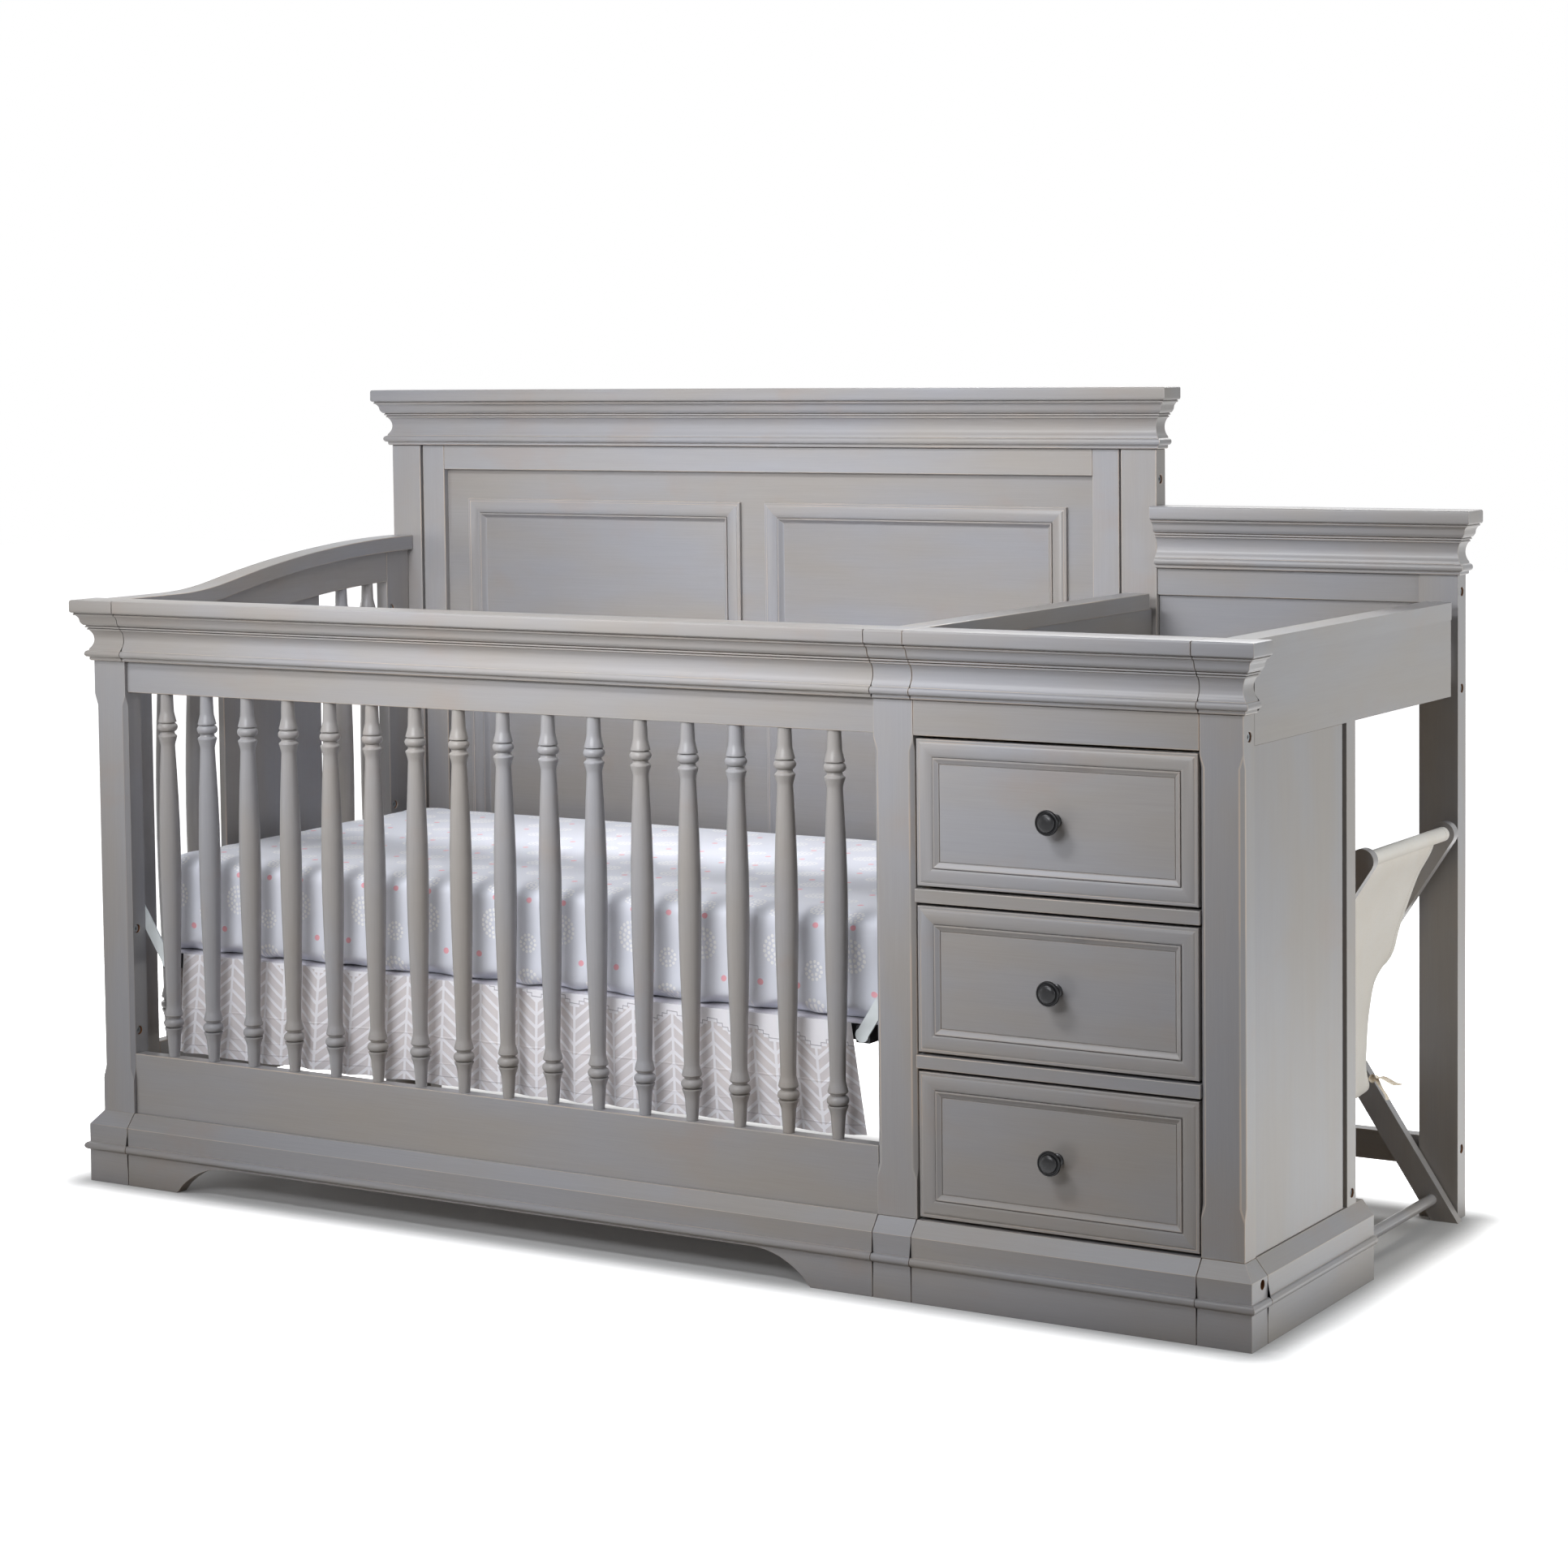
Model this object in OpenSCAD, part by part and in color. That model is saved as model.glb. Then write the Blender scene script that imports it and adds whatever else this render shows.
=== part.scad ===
// Baby crib with an attached changing cabinet, three drawers and a folding hamper.
// X runs along the crib to the right, Y from the front to the back, Z up, in millimetres.
// The row's origin is on the floor, under the middle of the whole piece.

/* [Frame] */
// Clear length of the crib front between its two posts
crib_bay = 1294; // [1200:2:1400]
// Clear width of the changer front between its two posts
changer_bay = 407; // [360:1:460]
// Width of a front post
post_w = 60; // [50:1:70]
// Depth of a front post
post_d = 34; // [31:1:42]
// Clear depth from the back of the front posts to the rear legs
depth_clear = 707; // [690:1:760]
// Width of a headboard leg
leg_w = 58; // [50:1:70]
// Thickness of the rear legs
leg_t = 31; // [28:1:40]
// Thickness of rails, end frames and the divider frame
rail_t = 22; // [18:1:26]
// How far the front rails sit behind the post faces
rail_inset = 5; // [3:1:7]
// How far the crib end's frame sits in from the posts' outer side
end_inset = 8; // [4:1:12]
// How far the divider sits to the right of its post's middle
divider_offset = 11; // [4:1:14]
// Size of the stopped chamfers on the front posts
post_chamfer = 6; // [3:1:9]

/* [Cornice] */
// How far the cornice stands out
cornice_out = 25.5; // [22:0.5:32]
// Height of the cornice's flat face
fascia_h = 19.6; // [16:0.2:28]
// Height of the S-shaped roll below the flat face
cyma_h = 15.4; // [12:0.2:19]
// Height of the cove
cove_h = 28.2; // [24:0.2:34]
// Radius of the cove
cove_r = 20.5; // [18:0.5:30]
// Radius of the lower bead
bead_r = 5.2; // [4:0.2:6.4]
// Height of the fillet at the cornice's foot
foot_fillet = 5.2; // [3:0.2:8]
// Height of the small fillets
fillet_h = 2.4; // [2:0.2:4]
// Depth and width of the fine grooves between the cornice's members
quirk = 1.2; // [0.8:0.1:1.4]

/* [Plinth] */
// Height of the plinth
plinth_h = 107; // [95:1:120]
// How far the plinth stands out
plinth_out = 16; // [12:1:20]
// Height of the chamfer along its top
plinth_chamfer = 20; // [14:1:26]
// Radius of the plinth bead
plinth_bead_r = 6; // [4:0.5:7]
// Height of the bead's centre above the floor
plinth_bead_z = 54; // [50:1:64]
// Height of the foot arch under the crib front
foot_arch_h = 45; // [36:1:47]
// Length of the flat foot beside a post
foot_len = 95; // [70:1:140]
// Run of the scroll from the foot to the arch
foot_scroll = 93; // [80:1:110]

/* [Crib front] */
// Height of the rail under the spindles above the floor
bottom_rail_top = 198; // [180:1:220]
// Number of turned spindles
spindle_count = 16; // [14:1:17]
// Largest radius of a spindle's body
spindle_r = 16; // [13:0.5:17]
// Radius of a spindle's bulbs
bulb_r = 15.3; // [13:0.1:17]
// Radius of a spindle's necks
neck_r = 10.8; // [8:0.1:11.5]
// Gap left between the post and the first spindle's body
spindle_margin = 52; // [40:1:60]

/* [Crib end] */
// Height of the end's cap rail where it meets the headboard
end_back_h = 945; // [915:1:975]
// Length of the level front part of the cap rail behind the post
end_level = 116; // [74:1:160]
// Length of the hollow part of the S curve
end_hollow = 120; // [80:1:170]
// Width of a cap rail
cap_w = 42; // [34:1:48]
// Thickness of a cap rail
cap_t = 24; // [18:1:28]
// Height of the rail under the cap rail
sub_rail_h = 50; // [40:1:60]
// Height of the end's and the divider's bottom rails
low_rail_h = 91; // [70:1:100]
// Width of the centre slat
centre_slat_w = 242; // [200:2:260]
// Width of an end stile
end_stile_w = 60; // [50:1:70]
// Distance from the centre slat's middle to the nearer end spindle
end_spindle_near = 185; // [165:1:190]
// Distance from the centre slat's middle to the outer end spindle
end_spindle_far = 254; // [240:1:262]
// Thickness of slats and thin panels
panel_t = 12; // [9:1:14]

/* [Headboard] */
// Height of the headboard legs, up to its cornice
headboard_h = 1096.5; // [1040:0.5:1150]
// Height of the headboard's top rail
head_rail_h = 40.5; // [32:0.5:60]
// Width of a headboard stile
head_stile_w = 44; // [36:1:60]
// Width of the groove between leg and stile
head_groove = 4; // [3:0.5:8]
// Height of the headboard panel's lower edge
head_panel_low = 300; // [240:1:340]
// Height of the headboard's bottom rail
head_low_rail_h = 90; // [60:1:120]
// Width of the raised frame mouldings on the panel
frame_mould_w = 33; // [26:1:40]
// Margin between the stiles and the raised frames
frame_margin = 46; // [36:1:60]
// Height of the raised frames' face above the panel
frame_mould_t = 9; // [5:1:10]
// How far the panel lies behind the legs' face
head_panel_inset = 12; // [10.5:0.5:14]

/* [Changer back] */
// Height of the changer's back leg, up to its cornice
changer_back_h = 921; // [905:1:960]
// Width of the changer's back leg
back_leg_w = 58; // [48:1:68]
// Height of the rail under the back's cornice
back_rail_h = 40; // [30:1:48]
// Height of the rear stretcher above the floor
stretcher_z = 73; // [50:1:100]
// Height of the rear stretcher's face
stretcher_h = 43; // [30:1:60]

/* [Drawers] */
// Height of a drawer front
drawer_h = 193; // [180:1:210]
// Gap above and below a drawer front
drawer_gap = 4; // [2:0.5:6]
// Gap beside a drawer front
drawer_side_gap = 3; // [2:0.5:5]
// Thickness of a drawer front
drawer_front_t = 20; // [18:1:24]
// Width of the moulded border of a drawer front
drawer_border = 33; // [26:1:40]
// Depth of the sunk panel in a drawer front
drawer_sink = 6; // [3:0.5:8]
// Height of the rail between two drawers
divider_rail_h = 18; // [14:1:24]
// Space left behind a drawer box, in front of the cabinet's back
drawer_back_gap = 29; // [24:1:90]
// Height of a drawer box
drawer_box_h = 130; // [100:1:150]
// Thickness of a drawer box's sides
drawer_side_t = 16; // [14:1:18]
// Thickness of a drawer box's bottom
drawer_bottom_t = 6; // [4:1:9]
// Height of a drawer runner
runner_h = 16; // [12:1:20]
// Depth to which a runner enters the side of its drawer
runner_in = 8; // [6:0.5:9]
// Running clearance around a runner
runner_gap = 0.5; // [0.3:0.1:1]
// Radius of a knob's disc
knob_r = 16.5; // [12:0.5:18]
// Distance from the sunk panel to the knob's tip
knob_len = 31; // [24:0.5:31]

/* [Cabinet and tray] */
// Depth of the cabinet to the back of its rear stile
cabinet_d = 361; // [345:1:370]
// How far the side plinth runs on past the cabinet's rear stile
side_plinth_over = 24; // [8:1:25]
// Thickness of the cabinet's side panel
side_t = 16; // [12:1:20]
// Set-back of the side panel from the post's side
side_inset = 2; // [1:0.5:4]
// Width of the cabinet's rear stile
rear_stile_w = 30; // [24:1:40]
// Width of the groove in front of the rear stile
rear_groove = 9; // [5:1:12]
// Height of the tray's side rail under its cap
tray_rail_h = 109; // [96:1:120]
// How far the tray's cap stands out past the cabinet
tray_cap_over = 4; // [2:0.5:8]
// Gap between the tray rail's end and the back leg
tray_end_gap = 28; // [15:1:40]
// Depth of the changing tray from its cap to its deck
tray_depth = 95; // [80:1:100]
// Thickness of the tray deck
deck_t = 15; // [10:1:18]

/* [Bedding] */
// Height of the top of the mattress support
support_top = 348; // [300:1:420]
// Height of the support's edge bars
support_h = 23; // [18:1:28]
// Number of cross slats of the support
support_slats = 8; // [6:1:10]
// Mattress length
mattress_l = 1318; // [1280:2:1330]
// Mattress width
mattress_w = 690; // [670:1:694]
// Mattress thickness at its edge
mattress_h = 138; // [100:1:150]
// Rise of the mattress crown above its edge
mattress_crown = 5; // [3:0.5:9]
// Radius of the mattress corners in plan
mattress_corner = 62; // [40:1:80]
// Draw-in of the mattress's sides at mid height
mattress_waist = 4; // [2:0.5:6]
// Drop of the skirt from the support to its hem
skirt_drop = 151; // [120:1:155]
// Length of the front skirt at its top
skirt_l = 1166; // [1100:2:1170]
// Depth of the skirt's folds at the hem
skirt_fold = 7; // [4:0.5:8]
// Number of folds in the front skirt
skirt_folds = 15; // [10:1:16]
// Thickness of the skirt's cloth with its lining
skirt_t = 1.6; // [1.2:0.1:2.4]

/* [Hamper] */
// Height of the hamper's upper dowels
hamper_top_z = 558; // [540:1:600]
// Height of the hamper's lower dowels
hamper_low_z = 30; // [24:1:50]
// Distance between the upper dowels
hamper_top_span = 373; // [330:1:380]
// Distance between the lower dowels
hamper_low_span = 326; // [300:1:350]
// Width of a hamper arm
arm_w = 34; // [28:1:38]
// Thickness of a hamper arm
arm_t = 16; // [12:1:18]
// Radius of the hamper's dowels
dowel_r = 8; // [6:0.5:9]
// How far the hamper's top stands out past the cabinet's side
hamper_proud = 8; // [4:1:12]
// Gap between the hamper and what is before and behind it
hamper_gap = 3; // [2:0.5:5]
// Gap between inner and outer arms
arm_gap = 1; // [0.6:0.1:2]
// Radius of the hamper's pivot pins
pivot_r = 4; // [3:0.5:5]
// Running clearance around a pivot pin
pivot_gap = 0.06; // [0.03:0.01:0.1]
// Thickness of the canvas
canvas_t = 2; // [1.5:0.1:3]
// Half width of the bag at its foot
bag_half = 88; // [80:1:95]
// Height of the bag's underside
bag_low_z = 182; // [165:1:200]
// Height of the hem of the bag's end walls
bag_end_z = 362; // [300:2:400]

/* [Bolts] */
// Radius of the counterbored bolt holes
bolt_hole_r = 6.5; // [6:0.25:7.5]
// Depth of the counterbore
bolt_sink = 8; // [5:1:10]
// Radius of a bolt's head
bolt_head_r = 5.8; // [5:0.1:5.9]
// Height of a bolt's head
bolt_head_h = 5; // [4:0.5:7]
// Length of a bolt's shank in the wood
bolt_len = 10; // [8:1:14]
// Radius of a bolt's shank
bolt_r = 3; // [2.5:0.5:3.5]

/* [Hidden] */
// Paint and finish colours
paint = [0.50, 0.49, 0.47];
raw_wood = [0.80, 0.71, 0.56];
steel = [0.72, 0.72, 0.74];
dark_metal = [0.10, 0.10, 0.11];
sheet_grey = [0.74, 0.77, 0.82];
skirt_grey = [0.80, 0.78, 0.80];
canvas = [0.93, 0.91, 0.86];
// A hair's breadth that carries a cut through a face
cut = 1;
// Clearance that keeps a soft piece off its neighbour
soft_gap = 0.3;
// Width and depth of the fine joints beside the cap and base blocks
joint_w = 1.5;
// Smoothness of arcs in mouldings and of turned pieces
arc_steps = 8;
$fn = 48;

// Places along X
mid_post_x = post_w + crib_bay;
right_post_x = mid_post_x + post_w + changer_bay;
body_w = right_post_x + post_w;
divider_x = mid_post_x + (post_w - rail_t) / 2 + divider_offset;
end_frame_x = end_inset;
// Places along Y
leg_y = post_d + depth_clear;
back_y = leg_y + leg_t;
rail_y0 = rail_inset;
rail_y1 = min(rail_inset + rail_t, post_d);
// Cornice profile heights, from its underside
bead_mid = foot_fillet + bead_r;
bead_top = bead_mid + bead_r;
cove_low = bead_top + fillet_h;
cove_top = cove_low + cove_h;
cyma_low = cove_top + 2 * fillet_h + 2 * quirk;
strip_low = cyma_low + cyma_h;
fascia_low = strip_low + fillet_h + quirk;
cornice_h = fascia_low + fascia_h;
// Heights that follow from the drawers
low_drawer_z = plinth_h + drawer_gap;
drawer_pitch = drawer_h + 2 * drawer_gap + divider_rail_h;
apron_z = low_drawer_z + 3 * drawer_pitch - drawer_gap - divider_rail_h;
apron_h = 47;
cornice_z = apron_z + apron_h;
top_z = cornice_z + cornice_h;
tray_rail_z = top_z - cap_t - tray_rail_h;
deck_z = top_z - tray_depth - deck_t;
// The row's origin in the building frame
mid_x = body_w / 2;
mid_y = (back_y - cornice_out) / 2;
// Spindles
spindle_first = post_w + spindle_margin + spindle_r;
spindle_pitch = (crib_bay - 2 * (spindle_margin + spindle_r)) / (spindle_count - 1);
spindle_y = (rail_y0 + rail_y1) / 2;
// Crib end
end_mid_y = (post_d + leg_y) / 2;
end_mid_x = end_frame_x + rail_t / 2;
end_curve_y = post_d + end_level;
end_slope = 2 * (end_back_h - top_z) / (leg_y - end_curve_y);
// Drawer box and runners
box_x0 = mid_post_x + post_w + 5;
box_x1 = right_post_x - 5;
box_gap = 1;
runner_z = 60;
box_z = 24;
front_panel_y = drawer_sink;
// Side plinth and hamper
side_plinth_d = cabinet_d + side_plinth_over;
hamper_y0 = side_plinth_d + hamper_gap;
hamper_y1 = leg_y - hamper_gap;
top_dowel_x = body_w + hamper_proud - arm_w / 2;
hamper_x = top_dowel_x - hamper_top_span / 2;
arm_run = (hamper_top_span + hamper_low_span) / 2;
arm_rise = hamper_top_z - hamper_low_z;
arm_angle = atan2(arm_rise, arm_run);
pivot_z = hamper_top_z - hamper_top_span / 2 * tan(arm_angle);
inner_y0 = hamper_y0 + arm_t + arm_gap;
inner_y1 = hamper_y1 - arm_t - arm_gap;
bag_y0 = inner_y0 + arm_t + soft_gap;
bag_y1 = inner_y1 - arm_t - soft_gap;
// Bedding
bed_x0 = end_frame_x + rail_t;
bed_x1 = divider_x;
bed_mid_x = (bed_x0 + bed_x1) / 2;
strap_t = 3;
mattress_z = support_top + skirt_t + 2 * soft_gap;
strap_w = 22;
strap_top_z = support_top + 80;
support_x0 = bed_x0 + 60;
support_x1 = bed_x1 - 60;
support_y0 = post_d + 20;
support_y1 = leg_y - 20;
support_t = 3;
skirt_y = post_d + 11.5;

// ---- Helpers ----------------------------------------------------------------

// Moves a piece from the building frame to the row's origin.
module placed() translate([-mid_x, -mid_y, 0]) children();

// A board given by its limits along the three axes.
module board(x, y, z) translate([x[0], y[0], z[0]]) cube([x[1] - x[0], y[1] - y[0], z[1] - z[0]]);

// Points of an arc about c, from angle a0 to a1.
function arc(c, r, a0, a1, n = arc_steps) =
    [for (i = [0:n]) let (a = a0 + (a1 - a0) * i / n) [c[0] + r * cos(a), c[1] + r * sin(a)]];

// Points of a hollow arc of radius r from p to q, bulging towards smaller x.
function cove(p, q, r, n = arc_steps) =
    let (
        half = norm(q - p) / 2,
        u = (q - p) / (2 * half),
        c = (p + q) / 2 + sqrt(r * r - half * half) * [u[1], -u[0]],
        a0 = atan2(p[1] - c[1], p[0] - c[0]),
        a1 = atan2(q[1] - c[1], q[0] - c[0])
    ) arc(c, r, a0 < 0 ? a0 + 360 : a0, a1, n);

// S-shaped curve from p up to q, bulging below and hollow above.
function cyma(p, q, n = arc_steps) = [for (i = [0:n]) let (t = i / n)
    [p[0] + (q[0] - p[0]) * (t + 0.12 * sin(360 * t)), p[1] + (q[1] - p[1]) * t]];

// Cornice section: how far it stands out against its height.
function cornice_section(back) = let (
    first = cove_top + fillet_h,
    second = first + quirk + fillet_h,
    lip = bead_r + 1.8
) concat(
    [[-back, 0], [bead_r - 1.6, 0], [bead_r - 0.2, 1.4], [bead_r - 0.2, foot_fillet]],
    arc([bead_r + 0.4, bead_mid], bead_r, -90, 90),
    cove([bead_r, cove_low], [bead_r, cove_top], cove_r),
    [[lip, cove_top], [lip, first], [lip - quirk, first], [lip - quirk, first + quirk],
     [lip + 2.2, first + quirk], [lip + 2.2, second], [lip + 2.2 - quirk, second],
     [lip + 2.2 - quirk, cyma_low]],
    cyma([lip + 3.6, cyma_low], [cornice_out - 6.2, strip_low]),
    [[cornice_out - 4.4, strip_low], [cornice_out - 3.6, strip_low + fillet_h],
     [cornice_out - 3.6 - quirk, strip_low + fillet_h], [cornice_out - 3.6 - quirk, fascia_low],
     [cornice_out - 3.5, fascia_low]],
    arc([cornice_out - 3.5, fascia_low + 3.5], 3.5, -60, 0, 3),
    arc([cornice_out - 3, cornice_h - 3], 3, 0, 90, 3),
    [[-back, cornice_h]]
);

// Plinth section: how far it stands out against its height.
function plinth_section(back) = concat(
    [[-back, 0], [plinth_out, 0], [plinth_out, plinth_bead_z - plinth_bead_r]],
    arc([plinth_out + 0.5, plinth_bead_z], plinth_bead_r, -90, 90),
    [[plinth_out, plinth_bead_z + plinth_bead_r], [plinth_out, plinth_h - plinth_chamfer],
     [0, plinth_h], [-back, plinth_h]]
);

// A section drawn out along X, standing out towards the front.
module along_x(section, x)
    translate([x[0], 0, 0]) rotate([90, 0, 90]) linear_extrude(x[1] - x[0])
        polygon([for (p = section) [-p[0], p[1]]]);

// A section drawn out along Y, standing out towards the right.
module along_y(section, y)
    translate([0, y[1], 0]) rotate([90, 0, 0]) linear_extrude(y[1] - y[0]) polygon(section);

// An outline in the Y-Z plane drawn out along X.
module side_outline(points, x)
    translate([x[0], 0, 0]) rotate([90, 0, 90]) linear_extrude(x[1] - x[0]) polygon(points);

// An outline in the X-Z plane drawn out along Y.
module front_outline(points, y)
    translate([0, y[1], 0]) rotate([90, 0, 0]) linear_extrude(y[1] - y[0]) polygon(points);

// A mitred corner of a moulding whose front face is at y = 0 and side face at x = 0.
module corner(front, side, width, depth, out)
    intersection() {
        along_x(front, [-width, out + cut]);
        along_y(side, [-out - cut, depth]);
    }

// A stopped chamfer on a vertical edge: sign gives the side the edge faces.
module stopped_chamfer(x, sign, z) {
    run = 18;
    depth = post_chamfer / sqrt(2);
    translate([x, 0, 0]) rotate([0, 0, -sign * 45]) rotate([90, 0, 90])
        linear_extrude(4 * post_chamfer, center = true)
            polygon([[-post_chamfer, z[0]], [0, z[0]], [depth, z[0] + run],
                     [depth, z[1] - run], [0, z[1]], [-post_chamfer, z[1]]]);
}

// A counterbored hole, sunk to the given depth, for a bolt driven along -X from the face at p.
module bolt_hole(p, sink = bolt_sink) translate(p) rotate([0, -90, 0]) {
    translate([0, 0, -cut]) cylinder(h = sink + cut, r = bolt_hole_r);
    cylinder(h = sink + bolt_len + 2, r = bolt_r + 0.2);
}

// A socket-head bolt that fits such a hole.
module bolt(p, sink = bolt_sink) translate(p) rotate([0, -90, 0]) translate([0, 0, sink - bolt_head_h])
    difference() {
        union() {
            cylinder(h = bolt_head_h, r = bolt_head_r);
            cylinder(h = bolt_head_h + bolt_len, r = bolt_r);
        }
        translate([0, 0, -cut]) cylinder(h = bolt_head_h / 2 + cut, r = bolt_head_r / 2, $fn = 6);
    }

// ---- Front posts --------------------------------------------------------------

right_post_bolt = [body_w, post_d / 2 + 2, cornice_z - 29];
left_post_bolts = [for (z = [232, 387]) [post_w, post_d / 2 - 2, z]];
base_block_bolt = [body_w + plinth_out, post_d / 2, plinth_h - plinth_chamfer - 8];
rear_stile_bolt = [body_w, cabinet_d - rear_stile_w / 2 + 2, plinth_h + 16];
back_leg_bolts = [for (z = [changer_back_h - 24, apron_z + 14, 100]) [body_w, leg_y + leg_t / 2, z]];
head_leg_bolt = [mid_post_x + post_w, leg_y + leg_t / 2, headboard_h - 45];
end_stile_bolts = [for (z = [plinth_h + low_rail_h + 297, end_back_h - cap_t - 96])
    [end_frame_x + rail_t, leg_y - end_stile_w + 12, z]];

module front_post(x) difference() {
    board([x, x + post_w], [0, post_d], [plinth_h, cornice_z]);
    stopped_chamfer(x, 1, [plinth_h + 50, cornice_z - 50]);
    stopped_chamfer(x + post_w, -1, [plinth_h + 50, cornice_z - 50]);
}

module front_left_post() color(paint) placed() difference() {
    front_post(0);
    for (p = left_post_bolts) bolt_hole(p);
}

module front_middle_post() color(paint) placed() front_post(mid_post_x);

module front_right_post() color(paint) placed() difference() {
    front_post(right_post_x);
    bolt_hole(right_post_bolt);
}

// A section of height h drawn in by the depth of a joint.
function sunk(section, h) =
    [for (p = section) [p[0] > section[0][0] / 2 ? p[0] - joint_w : p[0], min(p[1], h - joint_w)]];

// The blocks at the three posts, short of their neighbours by ease.
module block_row(front, side, out, ease) {
    mirror([1, 0, 0]) corner(front, side, post_w - ease, post_d - ease, out);
    along_x(front, [mid_post_x + ease, mid_post_x + post_w - ease]);
    translate([body_w, 0, 0]) corner(front, side, post_w - ease, post_d - ease, out);
}

// The same blocks with a fine open joint beside each neighbour.
module three_blocks(front, side, out, h) {
    block_row(front, side, out, joint_w);
    block_row(sunk(front, h), sunk(side, h), out, 0);
}

module post_base_blocks() color(paint) placed() difference() {
    three_blocks(plinth_section(post_d), plinth_section(post_w), plinth_out + plinth_bead_r + 0.5,
                 plinth_h);
    bolt_hole(base_block_bolt, 2 * bolt_sink);
}

module post_cap_blocks() color(paint) placed() translate([0, 0, cornice_z])
    three_blocks(cornice_section(post_d), cornice_section(post_w), cornice_out, cornice_h);

// ---- Crib front ---------------------------------------------------------------

module crib_front_cornice() color(paint) placed() translate([0, 0, cornice_z])
    along_x(cornice_section(post_d), [post_w, mid_post_x]);

module crib_front_top_rail() color(paint) placed()
    board([post_w, mid_post_x], [rail_y0, rail_y1], [apron_z, cornice_z]);

module crib_front_bottom_rail() color(paint) placed()
    board([post_w, mid_post_x], [rail_y0, rail_y1], [plinth_h - 50, bottom_rail_top]);

// Half of the foot arch's outline, from the scroll's toe up to the arch.
function scroll(x0, dir) = [for (i = [0:arc_steps]) let (t = i / arc_steps)
    [x0 + dir * foot_scroll * t, foot_arch_h * sin(90 * pow(t, 0.8)) ]];

module crib_front_plinth() color(paint) placed() difference() {
    along_x(plinth_section(rail_y0), [post_w, mid_post_x]);
    front_outline(
        concat([[post_w + foot_len, -cut]], scroll(post_w + foot_len, 1),
               [for (i = [arc_steps:-1:0]) scroll(mid_post_x - foot_len, -1)[i]],
               [[mid_post_x - foot_len, -cut]]),
        [-plinth_out - plinth_bead_r - 2 * cut, rail_y0 + cut]);
}

// Turned spindle section for a spindle of length len.
function spindle_section(len) = concat(
    [[0, 0], [8, 0], [9.4, 20], [10.2, 32], [11.8, 38], [bulb_r - 1.4, 43], [bulb_r - 1.4, 44.5]],
    arc([bulb_r - 7, 51.5], 7, -75, 75),
    [[neck_r, 59.3], [neck_r, 60.7], [bulb_r - 2.4, 61.5], [bulb_r - 1.2, 63.5], [bulb_r - 2.2, 68],
     [neck_r, 77], [neck_r, 84]],
    [for (t = [0.1:0.1:0.9])
        let (z = 84 + (len - 84 - 78) * t)
        [neck_r + (spindle_r - neck_r) * sin(180 * pow(t, 1.2)), z]],
    [[neck_r, len - 78], [neck_r + 0.6, len - 74], [bulb_r - 2, len - 67.5]],
    arc([bulb_r - 4, len - 64], 3, -40, 80, 4),
    [[neck_r, len - 59.5], [neck_r, len - 58]],
    arc([bulb_r - 7, len - 50], 7, -75, 75),
    [[bulb_r - 1.6, len - 42.5], [bulb_r - 1.6, len - 41], [12.4, len - 36], [10.3, len - 27],
     [9.8, len - 12], [9.4, len], [0, len]]
);

module spindle(x, y, z) translate([x, y, z[0]]) rotate_extrude() polygon(spindle_section(z[1] - z[0]));

module crib_front_spindles() color(paint) placed()
    for (i = [0:spindle_count - 1])
        spindle(spindle_first + i * spindle_pitch, spindle_y, [bottom_rail_top, apron_z]);

// ---- Left end -----------------------------------------------------------------

// Height of the top of the end's cap rail at depth y.
function end_top(y) =
    y < end_curve_y ? top_z
    : y < end_curve_y + end_hollow ? top_z + end_slope * pow(y - end_curve_y, 2) / (2 * end_hollow)
    : end_back_h - end_slope * pow(leg_y - y, 2) / (2 * (leg_y - end_curve_y - end_hollow));

// Depths at which the end's curve is drawn, shared by all the pieces that follow it.
end_ys = concat(
    [post_d, post_d + end_stile_w],
    [for (i = [0:22]) end_curve_y + (leg_y - end_stile_w - end_curve_y) * i / 22],
    [leg_y - end_stile_w / 2, leg_y]);

// The curve between two of those depths, lowered by drop.
function end_line(y, drop) = [for (v = end_ys) if (v > y[0] - 0.01 && v < y[1] + 0.01) [v, end_top(v) - drop]];

// Outline of a rail that follows the curve, between two drops below the top.
function end_band(y, high, low) =
    let (line = end_line(y, low))
    concat(end_line(y, high), [for (i = [len(line) - 1:-1:0]) line[i]]);

// Everything above the rail under the cap, to trim what stands below it.
module above_sub_rail() side_outline(
    concat(end_line([post_d, leg_y], cap_t + sub_rail_h),
           [[leg_y, 2 * end_back_h], [post_d, 2 * end_back_h]]),
    [end_frame_x - cap_w, end_frame_x + rail_t + cap_w]);

end_slat_x = [end_mid_x - panel_t / 2, end_mid_x + panel_t / 2];
end_rail_x = [end_frame_x, end_frame_x + rail_t];
low_rail_z = [plinth_h, plinth_h + low_rail_h];

module end_cap_rail() color(paint) placed()
    side_outline(end_band([post_d, leg_y], 0, cap_t), [end_mid_x - cap_w / 2, end_mid_x + cap_w / 2]);

module end_rails() color(paint) placed() {
    side_outline(end_band([post_d + end_stile_w, leg_y - end_stile_w], cap_t, cap_t + sub_rail_h),
                 end_rail_x);
    board(end_rail_x, [post_d + end_stile_w, leg_y - end_stile_w], low_rail_z);
}

module end_stiles() color(paint) placed() difference() {
    union() {
        side_outline([[post_d, plinth_h], [post_d + end_stile_w, plinth_h],
                      [post_d + end_stile_w, top_z - cap_t], [post_d, top_z - cap_t]], end_rail_x);
        side_outline(concat([[leg_y, 0], [leg_y - end_stile_w, 0]],
            end_line([leg_y - end_stile_w, leg_y], cap_t)), end_rail_x);
    }
    for (p = end_stile_bolts) bolt_hole(p);
}

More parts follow.
